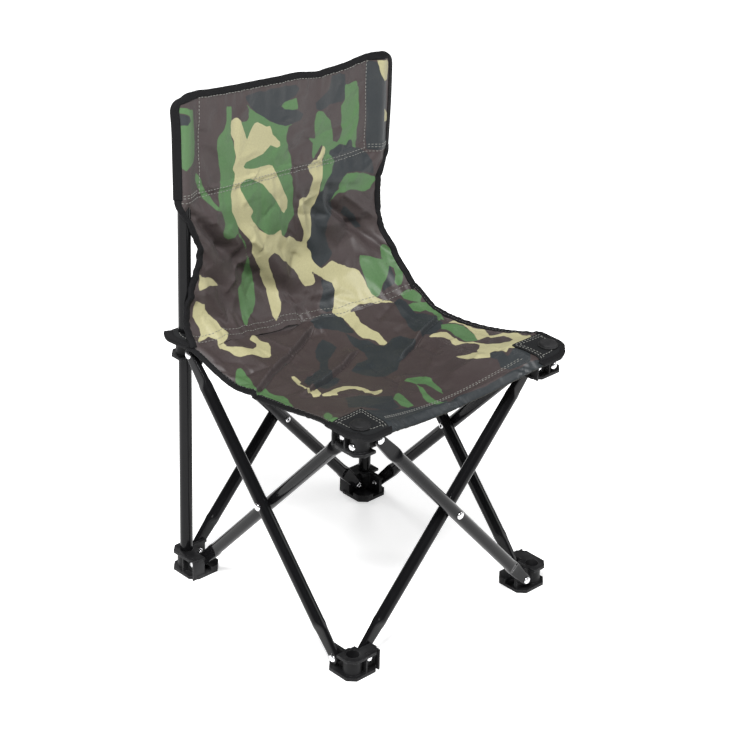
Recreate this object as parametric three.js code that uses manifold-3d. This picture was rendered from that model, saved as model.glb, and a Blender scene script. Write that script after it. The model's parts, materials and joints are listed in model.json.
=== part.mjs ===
// A compact folding fishing chair. Four pairs of crossed steel tubes run between four
// moulded feet and four moulded hubs, so that the square frame closes to a bundle. Two
// back posts stand in the rear feet and slide through the rear hubs. A slack cloth seat
// hangs between the hubs, and a cloth back is sleeved over the posts.
//
// Millimetres, +Z up. A sitter faces -Y, with the right hand towards -X. The side k = 0,
// 1, 2, 3 is the front, left, rear and right side. Each is built in the front side's
// frame, X along the side and +Y inwards, and turned by k quarter turns about Z. The
// corner k is the one at the start of side k.
import * as THREE from 'three';
import { mergeVertices } from 'three/addons/utils/BufferGeometryUtils.js';
import Module from 'manifold-3d';

const wasm = await Module();
wasm.setup();

// Clearances
const GAP = 0.3; // between pieces that touch
const LAYER_GAP = 0.4; // between the crossed tubes of a side
const OVERRUN = 2; // how far a cutting tool passes a face

// Frame
const FOOT_PITCH = 289; // between the centres of neighbouring feet
const PIVOT_INSET = 12.5; // from a moulding's centre, along the side
const PIVOT_HEIGHT = 16.5; // above a moulding's flat base
const PIVOT_RISE = 296; // from the lower pivots to the upper ones
const INNER_LAYER = 0.5; // the inner tubes' axis, outboard of the mouldings' centre line

// Tubes
const TUBE_DIAMETER = 16;
const TUBE_WALL = 1;
const PRESSED_THICKNESS = 8; // of a tube's flattened end
const PRESSED_WIDTH = 13.6; // at the pivot
const PRESSED_LENGTH = 34; // from the pivot to where the flat ends
const PRESS_BLEND = 14; // from there to the round tube
const PRESS_SHOULDER_WIDTH = 17.4; // where the flat ends

// Mouldings: foot and hub are one shape, and a hub is a foot turned over
const PLATE_SIZE = 48;
const PLATE_CHAMFER = 9;
const BASE_THICKNESS = 4;
const MOULD_HEIGHT = 28;
const TOP_THICKNESS = 3.5;
const SOCKET_OFFSET = 8.5; // from the centre towards the outer corner, in X and in Y
const SOCKET_WALL = 3;
const LUG_THICKNESS = 4.5;
const LUG_REACH = 21.5; // the lug's end, from the moulding's centre
const WALL_FACE = 15.5; // the pocket's floor, outboard of the moulding's centre
const WALL_START = -6;
const WALL_END = 22.4;
const RIB_THICKNESS = 1.8;
const RIB_PLACE = 0.6;
const RIB_SETBACK = 1.2; // behind the plates' edge
const BLOCK_HEIGHT = 9.5; // of the solid inner quarter
const BLOCK_MARGIN = 1.6; // from the moulding's inner channels
const RELIEF_RADIUS = 5.2; // the half-round cut in the top plate
const RELIEF_PLACE = -2.5;
const WEB_MARGIN = 1; // between the top plate's web and the upright inner tube
const DRAIN_RADIUS = 1.3;
const DRAIN_PLACES = [5.5, 16.5]; // along the top plate's outer edge
const DRAIN_SETBACK = 19.5;

// Rivets
const RIVET_SHANK_RADIUS = 2.5;
const RIVET_HEAD_RADIUS = 4.9;
const RIVET_HEAD_HEIGHT = 2.3;
const RIVET_TAIL_RADIUS = 3.7;
const RIVET_TAIL_HEIGHT = 1.3;
const RIVET_RECESS_RADIUS = 1.5;
const RIVET_RECESS_DEPTH = 2;
const RIVET_HOLE_RADIUS = RIVET_SHANK_RADIUS + GAP;

// Back posts and their plugs
const POST_TOP = 600;
const PLUG_FIT = 0.3; // between the plug's spigot and the tube's bore
const PLUG_DEPTH = 12;
const PLUG_DOME = 2.4;

// Seat cloth
const CLOTH_THICKNESS = 1.8;
const SEAT_MARGIN = 21; // from a button's or post's axis out to the cloth's edge
const SEAT_PULL = 21; // how far each edge draws in at its middle
const SEAT_SAG_FRONT = 22;
const SEAT_SAG_REAR = 25;
const SEAT_SAG_LEFT = 16;
const SEAT_SAG_RIGHT = 32;
const SEAT_SAG_MIDDLE = 38;
const SEAT_RIGHT_PEAK_SHARE = 0.26; // where the right edge hangs lowest, towards the rear
const HANG_POWER = 1.2; // a low power leaves the hubs steeply
const SEAT_LIFT = 12; // how far the back's wing lifts the left edge
const SEAT_LIFT_SHARE = 0.42;
const SEAT_LIFT_REACH_SHARE = 0.23;
const CORNER_RADIUS = 24;
const HINGE_INSET = 9; // the hem's inner line, inboard of the mouldings' centre line
const MIDDLE_HOLE = 0.5; // half the width of the four panels' meeting point
const EYELET_GAP = 0.6;
const SLACK_MARGIN = 18; // the cloth lies flat from this far inside the hubs' plates

// Corner patches and their buttons
const PATCH_SIZE = 50;
const PATCH_THICKNESS = 1.6;
const BUTTON_RADIUS = 12.4;
const BUTTON_DOME = 6.2;
const BUTTON_RIM = 1.6;
const BUTTON_SHANK_LENGTH = 30; // below the dome

// Back cloth
const SLEEVE_HEADROOM = 24; // from the posts' ends up to the back's top edge
const SLEEVE_LENGTH = 129; // from the top edge down to the cross seam and the sleeves' ends
const BACK_THICKNESS = 3; // of the doubled top
const SLEEVE_OUTER_REACH = 18; // from a post's axis out to the back's edge
const SLEEVE_INNER_REACH = 19; // and in to the sleeve's seam
const SLEEVE_WALL = 1.5;
const SLEEVE_GAP = 0.4;
const BACK_STEP_SHARE = 0.16; // how far down the lower back comes forward from the posts' plane
const BACK_STEP_HALF_SHARE = 0.88; // how far out its upper edge lies in that plane
const BACK_CORNER_RADIUS = 22;
const BACK_SEAM_RIGHT_Y = 138; // where the back meets the seat, at its right end
const BACK_SEAM_LEFT_Y = 72; // and at its left end
const SEAM_CLEARANCE = 3; // from the seat up to the back's gathered lower edge
const BACK_BELLY = 10; // how far the slack cloth hangs back at its middle

// Counts
const TUBE_SIDES = 16;
const ROUND_SIDES = 20;
const HOLE_SIDES = 8;
const BORE_SIDES = 10; // of a leg's inside
const RIVET_SIDES = 8;
const HEM_COLUMNS = 14;
const HEM_ROWS = 3;
const PANEL_COLUMNS = 14;
const PANEL_ROWS = 9;
const BACK_COLUMNS = 18;
const BACK_ROWS = 14;
const TOP_ROWS = 5;

// Sizes that follow
const HALF_PITCH = FOOT_PITCH / 2;
const TUBE_RADIUS = TUBE_DIAMETER / 2;
const OUTER_LAYER = INNER_LAYER + TUBE_DIAMETER + LAYER_GAP;
const PIVOT_HALF_SPAN = HALF_PITCH - PIVOT_INSET;
const PIVOT_HALF_RISE = PIVOT_RISE / 2;
const LEG_HALF = Math.hypot(PIVOT_HALF_SPAN, PIVOT_HALF_RISE);
const LEG_ANGLE = Math.atan2(PIVOT_HALF_RISE, PIVOT_HALF_SPAN);
const UPPER_PIVOT_HEIGHT = PIVOT_HEIGHT + PIVOT_RISE;
const BUTTON_RIVET_HEIGHT = MOULD_HEIGHT - TOP_THICKNESS - RIVET_HEAD_RADIUS - LAYER_GAP;
const HUB_TOP = UPPER_PIVOT_HEIGHT + PIVOT_HEIGHT;
const BORE_RADIUS = TUBE_RADIUS + GAP;
const COLUMN_RADIUS = BORE_RADIUS + SOCKET_WALL;
const PLATE_HALF = PLATE_SIZE / 2;
const LUG_FACE = OUTER_LAYER - PRESSED_THICKNESS / 2 - GAP;
const CHANNEL_OUTER = INNER_LAYER + PRESSED_THICKNESS / 2 + GAP;
const CHANNEL_INNER = PRESSED_THICKNESS / 2 - INNER_LAYER + GAP;
const POST_PLACE = HALF_PITCH + SOCKET_OFFSET;
const SEAT_HALF = POST_PLACE + SEAT_MARGIN;
const BACK_TOP = POST_TOP + SLEEVE_HEADROOM;
const BACK_SEAM = BACK_TOP - SLEEVE_LENGTH;
const BACK_HALF = POST_PLACE + SLEEVE_OUTER_REACH;
const SLEEVE_INNER = POST_PLACE - SLEEVE_INNER_REACH;
const CLOTH_BOTTOM = HUB_TOP + GAP;
const CLOTH_TOP = CLOTH_BOTTOM + CLOTH_THICKNESS;
const PATCH_BOTTOM = CLOTH_TOP + GAP;
const PATCH_TOP = PATCH_BOTTOM + PATCH_THICKNESS;
const EYELET_RADIUS = TUBE_RADIUS + EYELET_GAP;
const HINGE_PLACE = HALF_PITCH - HINGE_INSET;
const FLAT_SHARE = (HALF_PITCH - PLATE_HALF - SLACK_MARGIN) / SEAT_HALF;
const BACK_PLANE = POST_PLACE - BACK_THICKNESS / 2; // the front of the doubled top
const BACK_FRONT = POST_PLACE - TUBE_RADIUS - SLEEVE_GAP - BACK_THICKNESS; // of the cloth that passes the posts

const SIDES = ['front', 'left', 'rear', 'right'];
const CORNERS = ['front_right', 'front_left', 'rear_left', 'rear_right'];
const FRONT_CORNERS = [0, 1];
const REAR_CORNERS = [2, 3];
const QUARTER = Math.PI / 2;

const FINISH = {
  tube: { color: 0x141416, roughness: 0.28, metalness: 0.35 },
  moulding: { color: 0x1d1d1f, roughness: 0.55, metalness: 0 },
  rivet: { color: 0xc9cbcd, roughness: 0.3, metalness: 1 },
  cloth: { color: 0x55584a, roughness: 0.7, metalness: 0 },
  trim: { color: 0x161617, roughness: 0.75, metalness: 0 },
  button: { color: 0x202022, roughness: 0.4, metalness: 0 },
};

// Folds that the slack seat shows: each runs between two places, given as shares of the
// seat's half width, and rises by a share of the seat's middle sag.
const SEAT_FOLD_SHARES = [
  { from: [0.16, 0.6], to: [-0.8, 0.02], rise: 0.16 },
  { from: [0.1, 0.2], to: [-0.6, -0.42], rise: 0.12 },
  { from: [0.8, 0.12], to: [0.3, -0.12], rise: 0.14 },
  { from: [-0.5, 0.46], to: [-0.86, 0.34], rise: -0.12 },
  { from: [0.34, -0.5], to: [0.78, -0.62], rise: -0.1 },
];
const SEAT_FOLD_WIDTH = 11;

// Half widths of the back below its cross seam, as shares of the sleeved top's half
// width, from the seam down to the seat.
const BACK_RIGHT_SHARES = [0.965, 0.939, 0.9, 0.86, 0.821, 0.833, 0.868, 0.895, 0.9, 0.905, 0.912];
const BACK_LEFT_SHARES = [0.953, 0.928, 0.906, 0.899, 0.898, 0.898, 0.894, 0.889, 0.889, 0.889, 0.889];
// How far the cloth has swept forward from the posts towards its seam, on the same way down.
const BACK_SWEEP_SHARES = [0, 0, 0, 0, 0, 0.02, 0.11, 0.36, 0.6, 0.81, 1];
// Slack folds of the back, as shares of its width and height.
const BACK_FOLD_SHARES = [
  { from: [-0.8, 0.08], to: [-0.2, 0.62], depth: 0.5 },
  { from: [0.35, 0.12], to: [0.8, 0.3], depth: -0.55 },
  { from: [0.7, 0.36], to: [0.05, 0.8], depth: 0.4 },
];
const BACK_FOLD_WIDTH_SHARE = 0.09;
const TIP_SHARES = [0, 0.5, 0.9];
const TUBE_FLATNESS = 5; // exponent of a pressed end's section, where 2 is round

// Solids

function toSolid(geometry) {
  const bare = geometry.index ? geometry.toNonIndexed() : geometry.clone();
  bare.deleteAttribute('normal');
  bare.deleteAttribute('uv');
  const merged = mergeVertices(bare);
  return new wasm.Manifold(
    new wasm.Mesh({
      numProp: 3,
      vertProperties: new Float32Array(merged.attributes.position.array),
      triVerts: new Uint32Array(merged.index.array),
    }),
  );
}

function toGeometry(solid) {
  const mesh = solid.getMesh();
  const geometry = new THREE.BufferGeometry();
  geometry.setAttribute('position', new THREE.BufferAttribute(mesh.vertProperties, 3));
  geometry.setIndex(new THREE.BufferAttribute(mesh.triVerts, 1));
  geometry.computeVertexNormals();
  return geometry;
}

function join(parts) {
  return parts.reduce((whole, part) => whole.add(part));
}

function cut(solid, tools) {
  return tools.reduce((whole, tool) => whole.subtract(tool), solid);
}

function block(x0, x1, y0, y1, z0, z1) {
  const geometry = new THREE.BoxGeometry(x1 - x0, y1 - y0, z1 - z0);
  return toSolid(geometry.translate((x0 + x1) / 2, (y0 + y1) / 2, (z0 + z1) / 2));
}

function rodZ(radius, x, y, z0, z1, sides = ROUND_SIDES) {
  const geometry = new THREE.CylinderGeometry(radius, radius, z1 - z0, sides);
  return toSolid(geometry.rotateX(QUARTER).translate(x, y, (z0 + z1) / 2));
}

function rodY(radius, x, z, y0, y1, sides = HOLE_SIDES) {
  const geometry = new THREE.CylinderGeometry(radius, radius, y1 - y0, sides);
  return toSolid(geometry.translate(x, (y0 + y1) / 2, z));
}

function rodX(radius, y, z, x0, x1, sides = HOLE_SIDES) {
  const geometry = new THREE.CylinderGeometry(radius, radius, x1 - x0, sides);
  return toSolid(geometry.rotateZ(QUARTER).translate((x0 + x1) / 2, y, z));
}

function prism(shape, z0, z1, segments = 8) {
  const options = { depth: z1 - z0, bevelEnabled: false, curveSegments: segments };
  return toSolid(new THREE.ExtrudeGeometry(shape, options).translate(0, 0, z0));
}

function octagon(half, chamfer) {
  const near = half - chamfer;
  const points = [
    [half, -near], [half, near], [near, half], [-near, half],
    [-half, near], [-half, -near], [-near, -half], [near, -half],
  ];
  return new THREE.Shape(points.map(([x, y]) => new THREE.Vector2(x, y)));
}

function roundedSquare(half, radius) {
  const near = half - radius;
  const shape = new THREE.Shape();
  shape.absarc(near, near, radius, 0, QUARTER);
  shape.absarc(-near, near, radius, QUARTER, 2 * QUARTER);
  shape.absarc(-near, -near, radius, 2 * QUARTER, 3 * QUARTER);
  shape.absarc(near, -near, radius, 3 * QUARTER, 4 * QUARTER);
  return shape;
}

// Mouldings

// The moulding in its corner's frame: its centre at the origin, the flat base at z = 0,
// X and Y pointing along the chair's sides to the neighbouring corners.
function mouldingSolid(bored) {
  const wallInner = -CHANNEL_OUTER;
  const lugInner = -(LUG_FACE - LUG_THICKNESS);
  const topStart = MOULD_HEIGHT - TOP_THICKNESS;
  const blockStart = CHANNEL_INNER + BLOCK_MARGIN;
  const ribFace = -(PLATE_HALF - RIB_SETBACK);
  const bottom = prism(octagon(PLATE_HALF, PLATE_CHAMFER), 0, BASE_THICKNESS);
  const column = rodZ(COLUMN_RADIUS, -SOCKET_OFFSET, -SOCKET_OFFSET, 0, MOULD_HEIGHT, 24);
  const wall = block(WALL_START, WALL_END, -WALL_FACE, wallInner, 0, MOULD_HEIGHT);
  const ribs = [RIB_PLACE, WALL_END - RIB_THICKNESS].map((x) =>
    block(x, x + RIB_THICKNESS, ribFace, wallInner, 0, MOULD_HEIGHT),
  );
  const lug = block(-LUG_FACE, lugInner, -SOCKET_OFFSET, LUG_REACH, 0, MOULD_HEIGHT);
  const quarter = prism(octagon(PLATE_HALF, PLATE_CHAMFER), 0, BLOCK_HEIGHT)
    .intersect(block(blockStart, PLATE_HALF, blockStart, PLATE_HALF, 0, BLOCK_HEIGHT));
  const top = topPlateSolid(topStart, lugInner);
  const body = join([bottom, column, wall, ...ribs, lug, quarter, top]);
  return cut(body, mouldingHoles(bored, topStart));
}

function topPlateSolid(topStart, lugInner) {
  const plate = prism(octagon(PLATE_HALF, PLATE_CHAMFER), topStart, MOULD_HEIGHT);
  const past = PLATE_SIZE;
  const tubeSide = block(
    -past, -LUG_FACE, COLUMN_RADIUS - SOCKET_OFFSET - GAP, past, topStart - GAP, past,
  );
  const inside = block(lugInner, past, -CHANNEL_OUTER, past, topStart - GAP, past);
  const relief = rodZ(
    RELIEF_RADIUS, lugInner, RELIEF_PLACE, topStart - GAP, MOULD_HEIGHT + OVERRUN, 16,
  );
  const web = block(
    lugInner - GAP, PIVOT_INSET - PRESSED_WIDTH / 2 - WEB_MARGIN, -CHANNEL_OUTER - GAP, -RELIEF_PLACE,
    topStart, MOULD_HEIGHT,
  );
  return cut(plate, [tubeSide, inside]).add(web.subtract(relief));
}

function mouldingHoles(bored, topStart) {
  const boreStart = bored ? -OVERRUN : BASE_THICKNESS;
  const above = MOULD_HEIGHT + OVERRUN;
  const bore = rodZ(BORE_RADIUS, -SOCKET_OFFSET, -SOCKET_OFFSET, boreStart, above, 24);
  const wallHole = rodY(
    RIVET_HOLE_RADIUS, PIVOT_INSET, PIVOT_HEIGHT, -WALL_FACE - OVERRUN, OVERRUN - CHANNEL_OUTER,
  );
  const lugHole = rodX(
    RIVET_HOLE_RADIUS, PIVOT_INSET, PIVOT_HEIGHT, -LUG_FACE - OVERRUN,
    OVERRUN + LUG_THICKNESS - LUG_FACE,
  );
  const drains = DRAIN_PLACES.map((x) =>
    rodZ(DRAIN_RADIUS, x, -DRAIN_SETBACK, topStart - OVERRUN, above, 8),
  );
  return [bore, wallHole, lugHole, ...drains];
}

function footSolid() {
  return mouldingSolid(false);
}

// A hub is the moulding turned over about the corner's diagonal.
function hubSolid(buttoned) {
  const turned = toSolid(toGeometry(mouldingSolid(true)).applyMatrix4(flipMatrix()));
  if (!buttoned) return turned;
  const hole = rodX(
    RIVET_HOLE_RADIUS, -SOCKET_OFFSET, -BUTTON_RIVET_HEIGHT,
    -PLATE_HALF - OVERRUN, COLUMN_RADIUS - SOCKET_OFFSET + OVERRUN,
  );
  return turned.subtract(hole);
}

function flipMatrix() {
  return new THREE.Matrix4().set(0, 1, 0, 0, 1, 0, 0, 0, 0, 0, -1, 0, 0, 0, 0, 1);
}

// Tubes

function legSection(place, halfWidth, halfThickness, power) {
  const ring = [];
  for (let i = 0; i < TUBE_SIDES; i += 1) {
    const turn = ((i + 1 / 2) / TUBE_SIDES) * 4 * QUARTER;
    const c = Math.cos(turn);
    const s = Math.sin(turn);
    const y = halfThickness * Math.sign(c) * Math.abs(c) ** (2 / power);
    const z = halfWidth * Math.sign(s) * Math.abs(s) ** (2 / power);
    ring.push(new THREE.Vector3(place, y, z));
  }
  return ring;
}

// The rings of one end, from the round tube out to the tip.
function legEndRings(direction) {
  const tipRadius = PRESSED_WIDTH / 2;
  const thin = PRESSED_THICKNESS / 2;
  const blendStart = LEG_HALF - PRESSED_LENGTH - PRESS_BLEND;
  const rings = [
    legSection(direction * blendStart, TUBE_RADIUS, TUBE_RADIUS, 2),
    legSection(
      direction * (LEG_HALF - PRESSED_LENGTH), PRESS_SHOULDER_WIDTH / 2, thin, TUBE_FLATNESS,
    ),
  ];
  for (const share of TIP_SHARES) {
    const width = tipRadius * Math.sqrt(1 - share * share);
    rings.push(legSection(direction * (LEG_HALF + share * tipRadius), width, thin, TUBE_FLATNESS));
  }
  return rings;
}

function legSolid() {
  const rings = [...legEndRings(-1).reverse(), ...legEndRings(1)];
  const outside = toSolid(loft(rings));
  const boreHalf = LEG_HALF - PRESSED_LENGTH - PRESS_BLEND;
  const bore = rodX(TUBE_RADIUS - TUBE_WALL, 0, 0, -boreHalf, boreHalf, BORE_SIDES);
  const holes = [-LEG_HALF, 0, LEG_HALF].map((x) =>
    rodY(RIVET_HOLE_RADIUS, x, 0, -TUBE_DIAMETER, TUBE_DIAMETER),
  );
  return cut(outside, [bore, ...holes]);
}

// A closed body through rings of points, whose ends are flat fans.
function loft(rings) {
  const count = rings[0].length;
  const points = rings.flat();
  const index = [];
  for (let r = 0; r < rings.length - 1; r += 1) {
    for (let i = 0; i < count; i += 1) {
      const a = r * count + i;
      const b = r * count + ((i + 1) % count);
      index.push(a, b, a + count, b, b + count, a + count);
    }
  }
  const last = (rings.length - 1) * count;
  for (let i = 1; i < count - 1; i += 1) {
    index.push(0, i + 1, i);
    index.push(last, last + i, last + i + 1);
  }
  return indexed(points, index);
}

function indexed(points, index) {
  const geometry = new THREE.BufferGeometry().setFromPoints(points);
  geometry.setIndex(index);
  return geometry;
}

function postGeometry() {
  const shape = new THREE.Shape().absarc(0, 0, TUBE_RADIUS, 0, 4 * QUARTER);
  shape.holes.push(new THREE.Path().absarc(0, 0, TUBE_RADIUS - TUBE_WALL, 0, 4 * QUARTER));
  return toGeometry(prism(shape, BASE_THICKNESS + GAP, POST_TOP, 12));
}

// Turned pieces: each profile runs from its low point on the axis to its high one.

function arcProfile(radius, base, height, steps) {
  const points = [];
  for (let i = 1; i <= steps; i += 1) {
    const turn = (i / steps) * QUARTER;
    points.push([radius * Math.cos(turn), base + height * Math.sin(turn)]);
  }
  return points;
}

function turned(profile, sides) {
  const points = profile.map(([r, z]) => new THREE.Vector2(Math.max(r, 0), z));
  points[0].x = 0;
  points[points.length - 1].x = 0;
  return toGeometry(toSolid(new THREE.LatheGeometry(points, sides).rotateX(QUARTER)));
}

// A semi-tubular rivet on the Z axis, with the underside of its domed head at z = 0.
function rivetGeometry(grip) {
  const end = -grip - RIVET_TAIL_HEIGHT;
  const profile = [
    [0, end + RIVET_RECESS_DEPTH],
    [RIVET_RECESS_RADIUS, end + RIVET_RECESS_DEPTH],
    [RIVET_RECESS_RADIUS, end],
    [RIVET_TAIL_RADIUS, end],
    [RIVET_TAIL_RADIUS, -grip],
    [RIVET_SHANK_RADIUS, -grip],
    [RIVET_SHANK_RADIUS, 0],
    [RIVET_HEAD_RADIUS, 0],
    ...arcProfile(RIVET_HEAD_RADIUS, 0, RIVET_HEAD_HEIGHT, 2),
  ];
  return turned(profile, RIVET_SIDES);
}

// A plain rivet whose end stays inside the moulding.
function pinGeometry(length) {
  const profile = [
    [0, -length],
    [RIVET_SHANK_RADIUS, -length],
    [RIVET_SHANK_RADIUS, 0],
    [RIVET_HEAD_RADIUS, 0],
    ...arcProfile(RIVET_HEAD_RADIUS, 0, RIVET_HEAD_HEIGHT, 2),
  ];
  return turned(profile, RIVET_SIDES);
}

function plugGeometry() {
  const spigot = TUBE_RADIUS - TUBE_WALL - PLUG_FIT;
  const profile = [
    [0, -PLUG_DEPTH],
    [spigot, -PLUG_DEPTH],
    [spigot, GAP],
    [TUBE_RADIUS, GAP],
    ...arcProfile(TUBE_RADIUS, GAP, PLUG_DOME, 3),
  ];
  return turned(profile, TUBE_SIDES);
}

// A domed button whose shank fills the hub's socket, with the underside of its rim at 0.
function buttonGeometry() {
  const profile = [
    [0, -BUTTON_SHANK_LENGTH],
    [TUBE_RADIUS, -BUTTON_SHANK_LENGTH],
    [TUBE_RADIUS, 0],
    [BUTTON_RADIUS, 0],
    [BUTTON_RADIUS, BUTTON_RIM],
    ...arcProfile(BUTTON_RADIUS, BUTTON_RIM, BUTTON_DOME - BUTTON_RIM, 4),
  ];
  const rivetZ = HUB_TOP - BUTTON_RIVET_HEIGHT - (PATCH_TOP + GAP);
  const hole = rodX(RIVET_HOLE_RADIUS, 0, rivetZ, -TUBE_DIAMETER, TUBE_DIAMETER);
  return toGeometry(toSolid(turned(profile, 24)).subtract(hole));
}

// Cloth

// How an edge hangs between its hubs: 1 at its lowest and 0 over the hubs.
function slack(share, peak = 0) {
  const reach = share > peak ? FLAT_SHARE - peak : FLAT_SHARE + peak;
  const inside = Math.min(Math.abs(share - peak) / reach, 1);
  return (1 - inside * inside) ** HANG_POWER;
}

function mix(a, b, share) {
  return a + (b - a) * share;
}

// How high a soft ridge along a fold stands at a place, from 0 to 1.
function ridge(place, fold, width) {
  const [fx, fy] = fold.from;
  const dx = fold.to[0] - fx;
  const dy = fold.to[1] - fy;
  const along = ((place[0] - fx) * dx + (place[1] - fy) * dy) / (dx * dx + dy * dy);
  const inside = Math.min(Math.max(along, 0), 1);
  const off = Math.hypot(place[0] - fx - inside * dx, place[1] - fy - inside * dy);
  return Math.exp(-((off / width) ** 2));
}

// The top of the seat cloth at shares s and t of its half width, in the chair's frame.
function seatPoint(s, t) {
  const x = s * (SEAT_HALF - SEAT_PULL * slack(t));
  const y = t * (SEAT_HALF - SEAT_PULL * slack(s));
  const along = slack(s) * mix(SEAT_SAG_FRONT, SEAT_SAG_REAR, (t + 1) / 2);
  const right = slack(t, SEAT_RIGHT_PEAK_SHARE) * SEAT_SAG_RIGHT;
  const across = mix(right, slack(t) * SEAT_SAG_LEFT, (s + 1) / 2);
  const near = Math.min(Math.abs(t - SEAT_LIFT_SHARE) / SEAT_LIFT_REACH_SHARE, 1);
  const lift = SEAT_LIFT * Math.max(s, 0) ** 3 * (1 - near * near) ** 2;
  const edges = (SEAT_SAG_FRONT + SEAT_SAG_REAR + SEAT_SAG_LEFT + SEAT_SAG_RIGHT) / 2;
  const shared = slack(s) * slack(t) * (edges - SEAT_SAG_MIDDLE);
  const loose = slack(s) + slack(t) - slack(s) * slack(t);
  const fade = loose * (1 - Math.max(Math.abs(s), Math.abs(t)) ** 4);
  let z = CLOTH_TOP - along - across + shared + lift;
  for (const fold of SEAT_FOLD_SHARES) {
    z += fade * fold.rise * SEAT_SAG_MIDDLE * ridge([s, t], fold, SEAT_FOLD_WIDTH / SEAT_HALF);
  }
  return new THREE.Vector3(x, y, z);
}

// Side k's place (c, t), where c runs from -1 to 1 between the seat's two diagonals, in
// the chair's frame. t is the share of the half width outwards from the middle.
function sidePoint(k, c, t) {
  const limit = 1 - GAP / (t * SEAT_HALF);
  const s = Math.min(Math.max(c, -limit), limit) * t;
  const places = [[s, -t], [t, s], [-s, t], [-t, -s]];
  return seatPoint(...places[k]);
}

// The hem's inner line lies over the hinge place all along the side.
function hemShare(c) {
  return HINGE_PLACE / (SEAT_HALF - SEAT_PULL * slack(c * HINGE_PLACE / SEAT_HALF));
}

// A closed sheet below a grid of points: rows of points, each as long as the others.
function sheetGeometry(rows, thickness) {
  const width = rows[0].length;
  const top = rows.flat();
  const index = [];
  for (let r = 0; r < rows.length - 1; r += 1) {
    for (let i = 0; i < width - 1; i += 1) {
      const a = r * width + i;
      index.push(a, a + 1, a + width, a + 1, a + width + 1, a + width);
    }
  }
  const surface = indexed(top, index);
  surface.computeVertexNormals();
  const normals = surface.attributes.normal;
  const below = top.map((point, i) =>
    point.clone().addScaledVector(new THREE.Vector3().fromBufferAttribute(normals, i), -thickness),
  );
  const shift = top.length;
  const all = [...index];
  for (let i = 0; i < index.length; i += 3) {
    all.push(index[i] + shift, index[i + 2] + shift, index[i + 1] + shift);
  }
  const edge = outline(rows.length, width);
  for (let i = 0; i < edge.length; i += 1) {
    const a = edge[i];
    const b = edge[(i + 1) % edge.length];
    all.push(a, a + shift, b, b, a + shift, b + shift);
  }
  return indexed([...top, ...below], all);
}

// The indices round a grid, in the order in which its triangles turn.
function outline(height, width) {
  const edge = [];
  for (let i = 0; i < width - 1; i += 1) edge.push(i);
  for (let r = 0; r < height - 1; r += 1) edge.push(r * width + width - 1);
  for (let i = width - 1; i > 0; i -= 1) edge.push((height - 1) * width + i);
  for (let r = height - 1; r > 0; r -= 1) edge.push(r * width);
  return edge;
}

function gridRows(rowCount, columnCount, place) {
  const rows = [];
  for (let r = 0; r <= rowCount; r += 1) {
    const row = [];
    for (let i = 0; i <= columnCount; i += 1) {
      row.push(place((2 * i) / columnCount - 1, r / rowCount));
    }
    rows.push(row);
  }
  return rows;
}

// A hem: the strip outside the hinge line, with round eyelets at its two corners.
function hemGeometry(k) {
  const margin = GAP / 2 / SEAT_HALF;
  const rows = gridRows(HEM_ROWS, HEM_COLUMNS, (c, share) =>
    sidePoint(k, c, mix(1, hemShare(c) + margin, share)),
  );
  const low = CLOTH_BOTTOM - SEAT_HALF;
  const high = CLOTH_TOP + OVERRUN;
  const outside = prism(roundedSquare(SEAT_HALF, CORNER_RADIUS), low, high, 6);
  const eyelets = [-1, 1].flatMap((x) =>
    [-1, 1].map((y) => rodZ(EYELET_RADIUS, x * POST_PLACE, y * POST_PLACE, low, high)),
  );
  const strip = toSolid(sheetGeometry(rows, CLOTH_THICKNESS));
  return toGeometry(cut(strip.intersect(outside), eyelets));
}

// A panel: the triangle between the hem's inner line and the middle of the seat.
function panelGeometry(k) {
  const margin = GAP / 2 / SEAT_HALF;
  const tip = MIDDLE_HOLE / SEAT_HALF;
  const rows = gridRows(PANEL_ROWS, PANEL_COLUMNS, (c, share) =>
    sidePoint(k, c, mix(hemShare(c) - margin, tip, share)),
  );
  return toGeometry(toSolid(sheetGeometry(rows, CLOTH_THICKNESS)));
}

function patchGeometry(k) {
  const shape = prism(roundedSquare(SEAT_HALF, CORNER_RADIUS), PATCH_BOTTOM, PATCH_TOP, 6);
  const inner = SEAT_HALF - PATCH_SIZE;
  const outer = SEAT_HALF + OVERRUN;
  const [x, y] = [[-1, -1], [1, -1], [1, 1], [-1, 1]][k];
  const corner = block(
    Math.min(x * inner, x * outer), Math.max(x * inner, x * outer),
    Math.min(y * inner, y * outer), Math.max(y * inner, y * outer),
    PATCH_BOTTOM - OVERRUN, PATCH_TOP + OVERRUN,
  );
  const eyelet = rodZ(
    EYELET_RADIUS, x * POST_PLACE, y * POST_PLACE, PATCH_BOTTOM - OVERRUN, PATCH_TOP + OVERRUN,
  );
  return toGeometry(shape.intersect(corner).subtract(eyelet));
}

// A value from a table of evenly spaced shares, on a smooth curve through its entries.
function fromTable(table, share) {
  const place = Math.min(Math.max(share, 0), 1) * (table.length - 1);
  const low = Math.min(Math.floor(place), table.length - 2);
  const part = place - low;
  const start = table[low];
  const end = table[low + 1];
  const rise = (end - table[Math.max(low - 1, 0)]) / 2;
  const leave = (table[Math.min(low + 2, table.length - 1)] - start) / 2;
  const bend = 3 * (end - start) - 2 * rise - leave;
  const twist = 2 * (start - end) + rise + leave;
  return start + part * (rise + part * (bend + part * twist));
}

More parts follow.
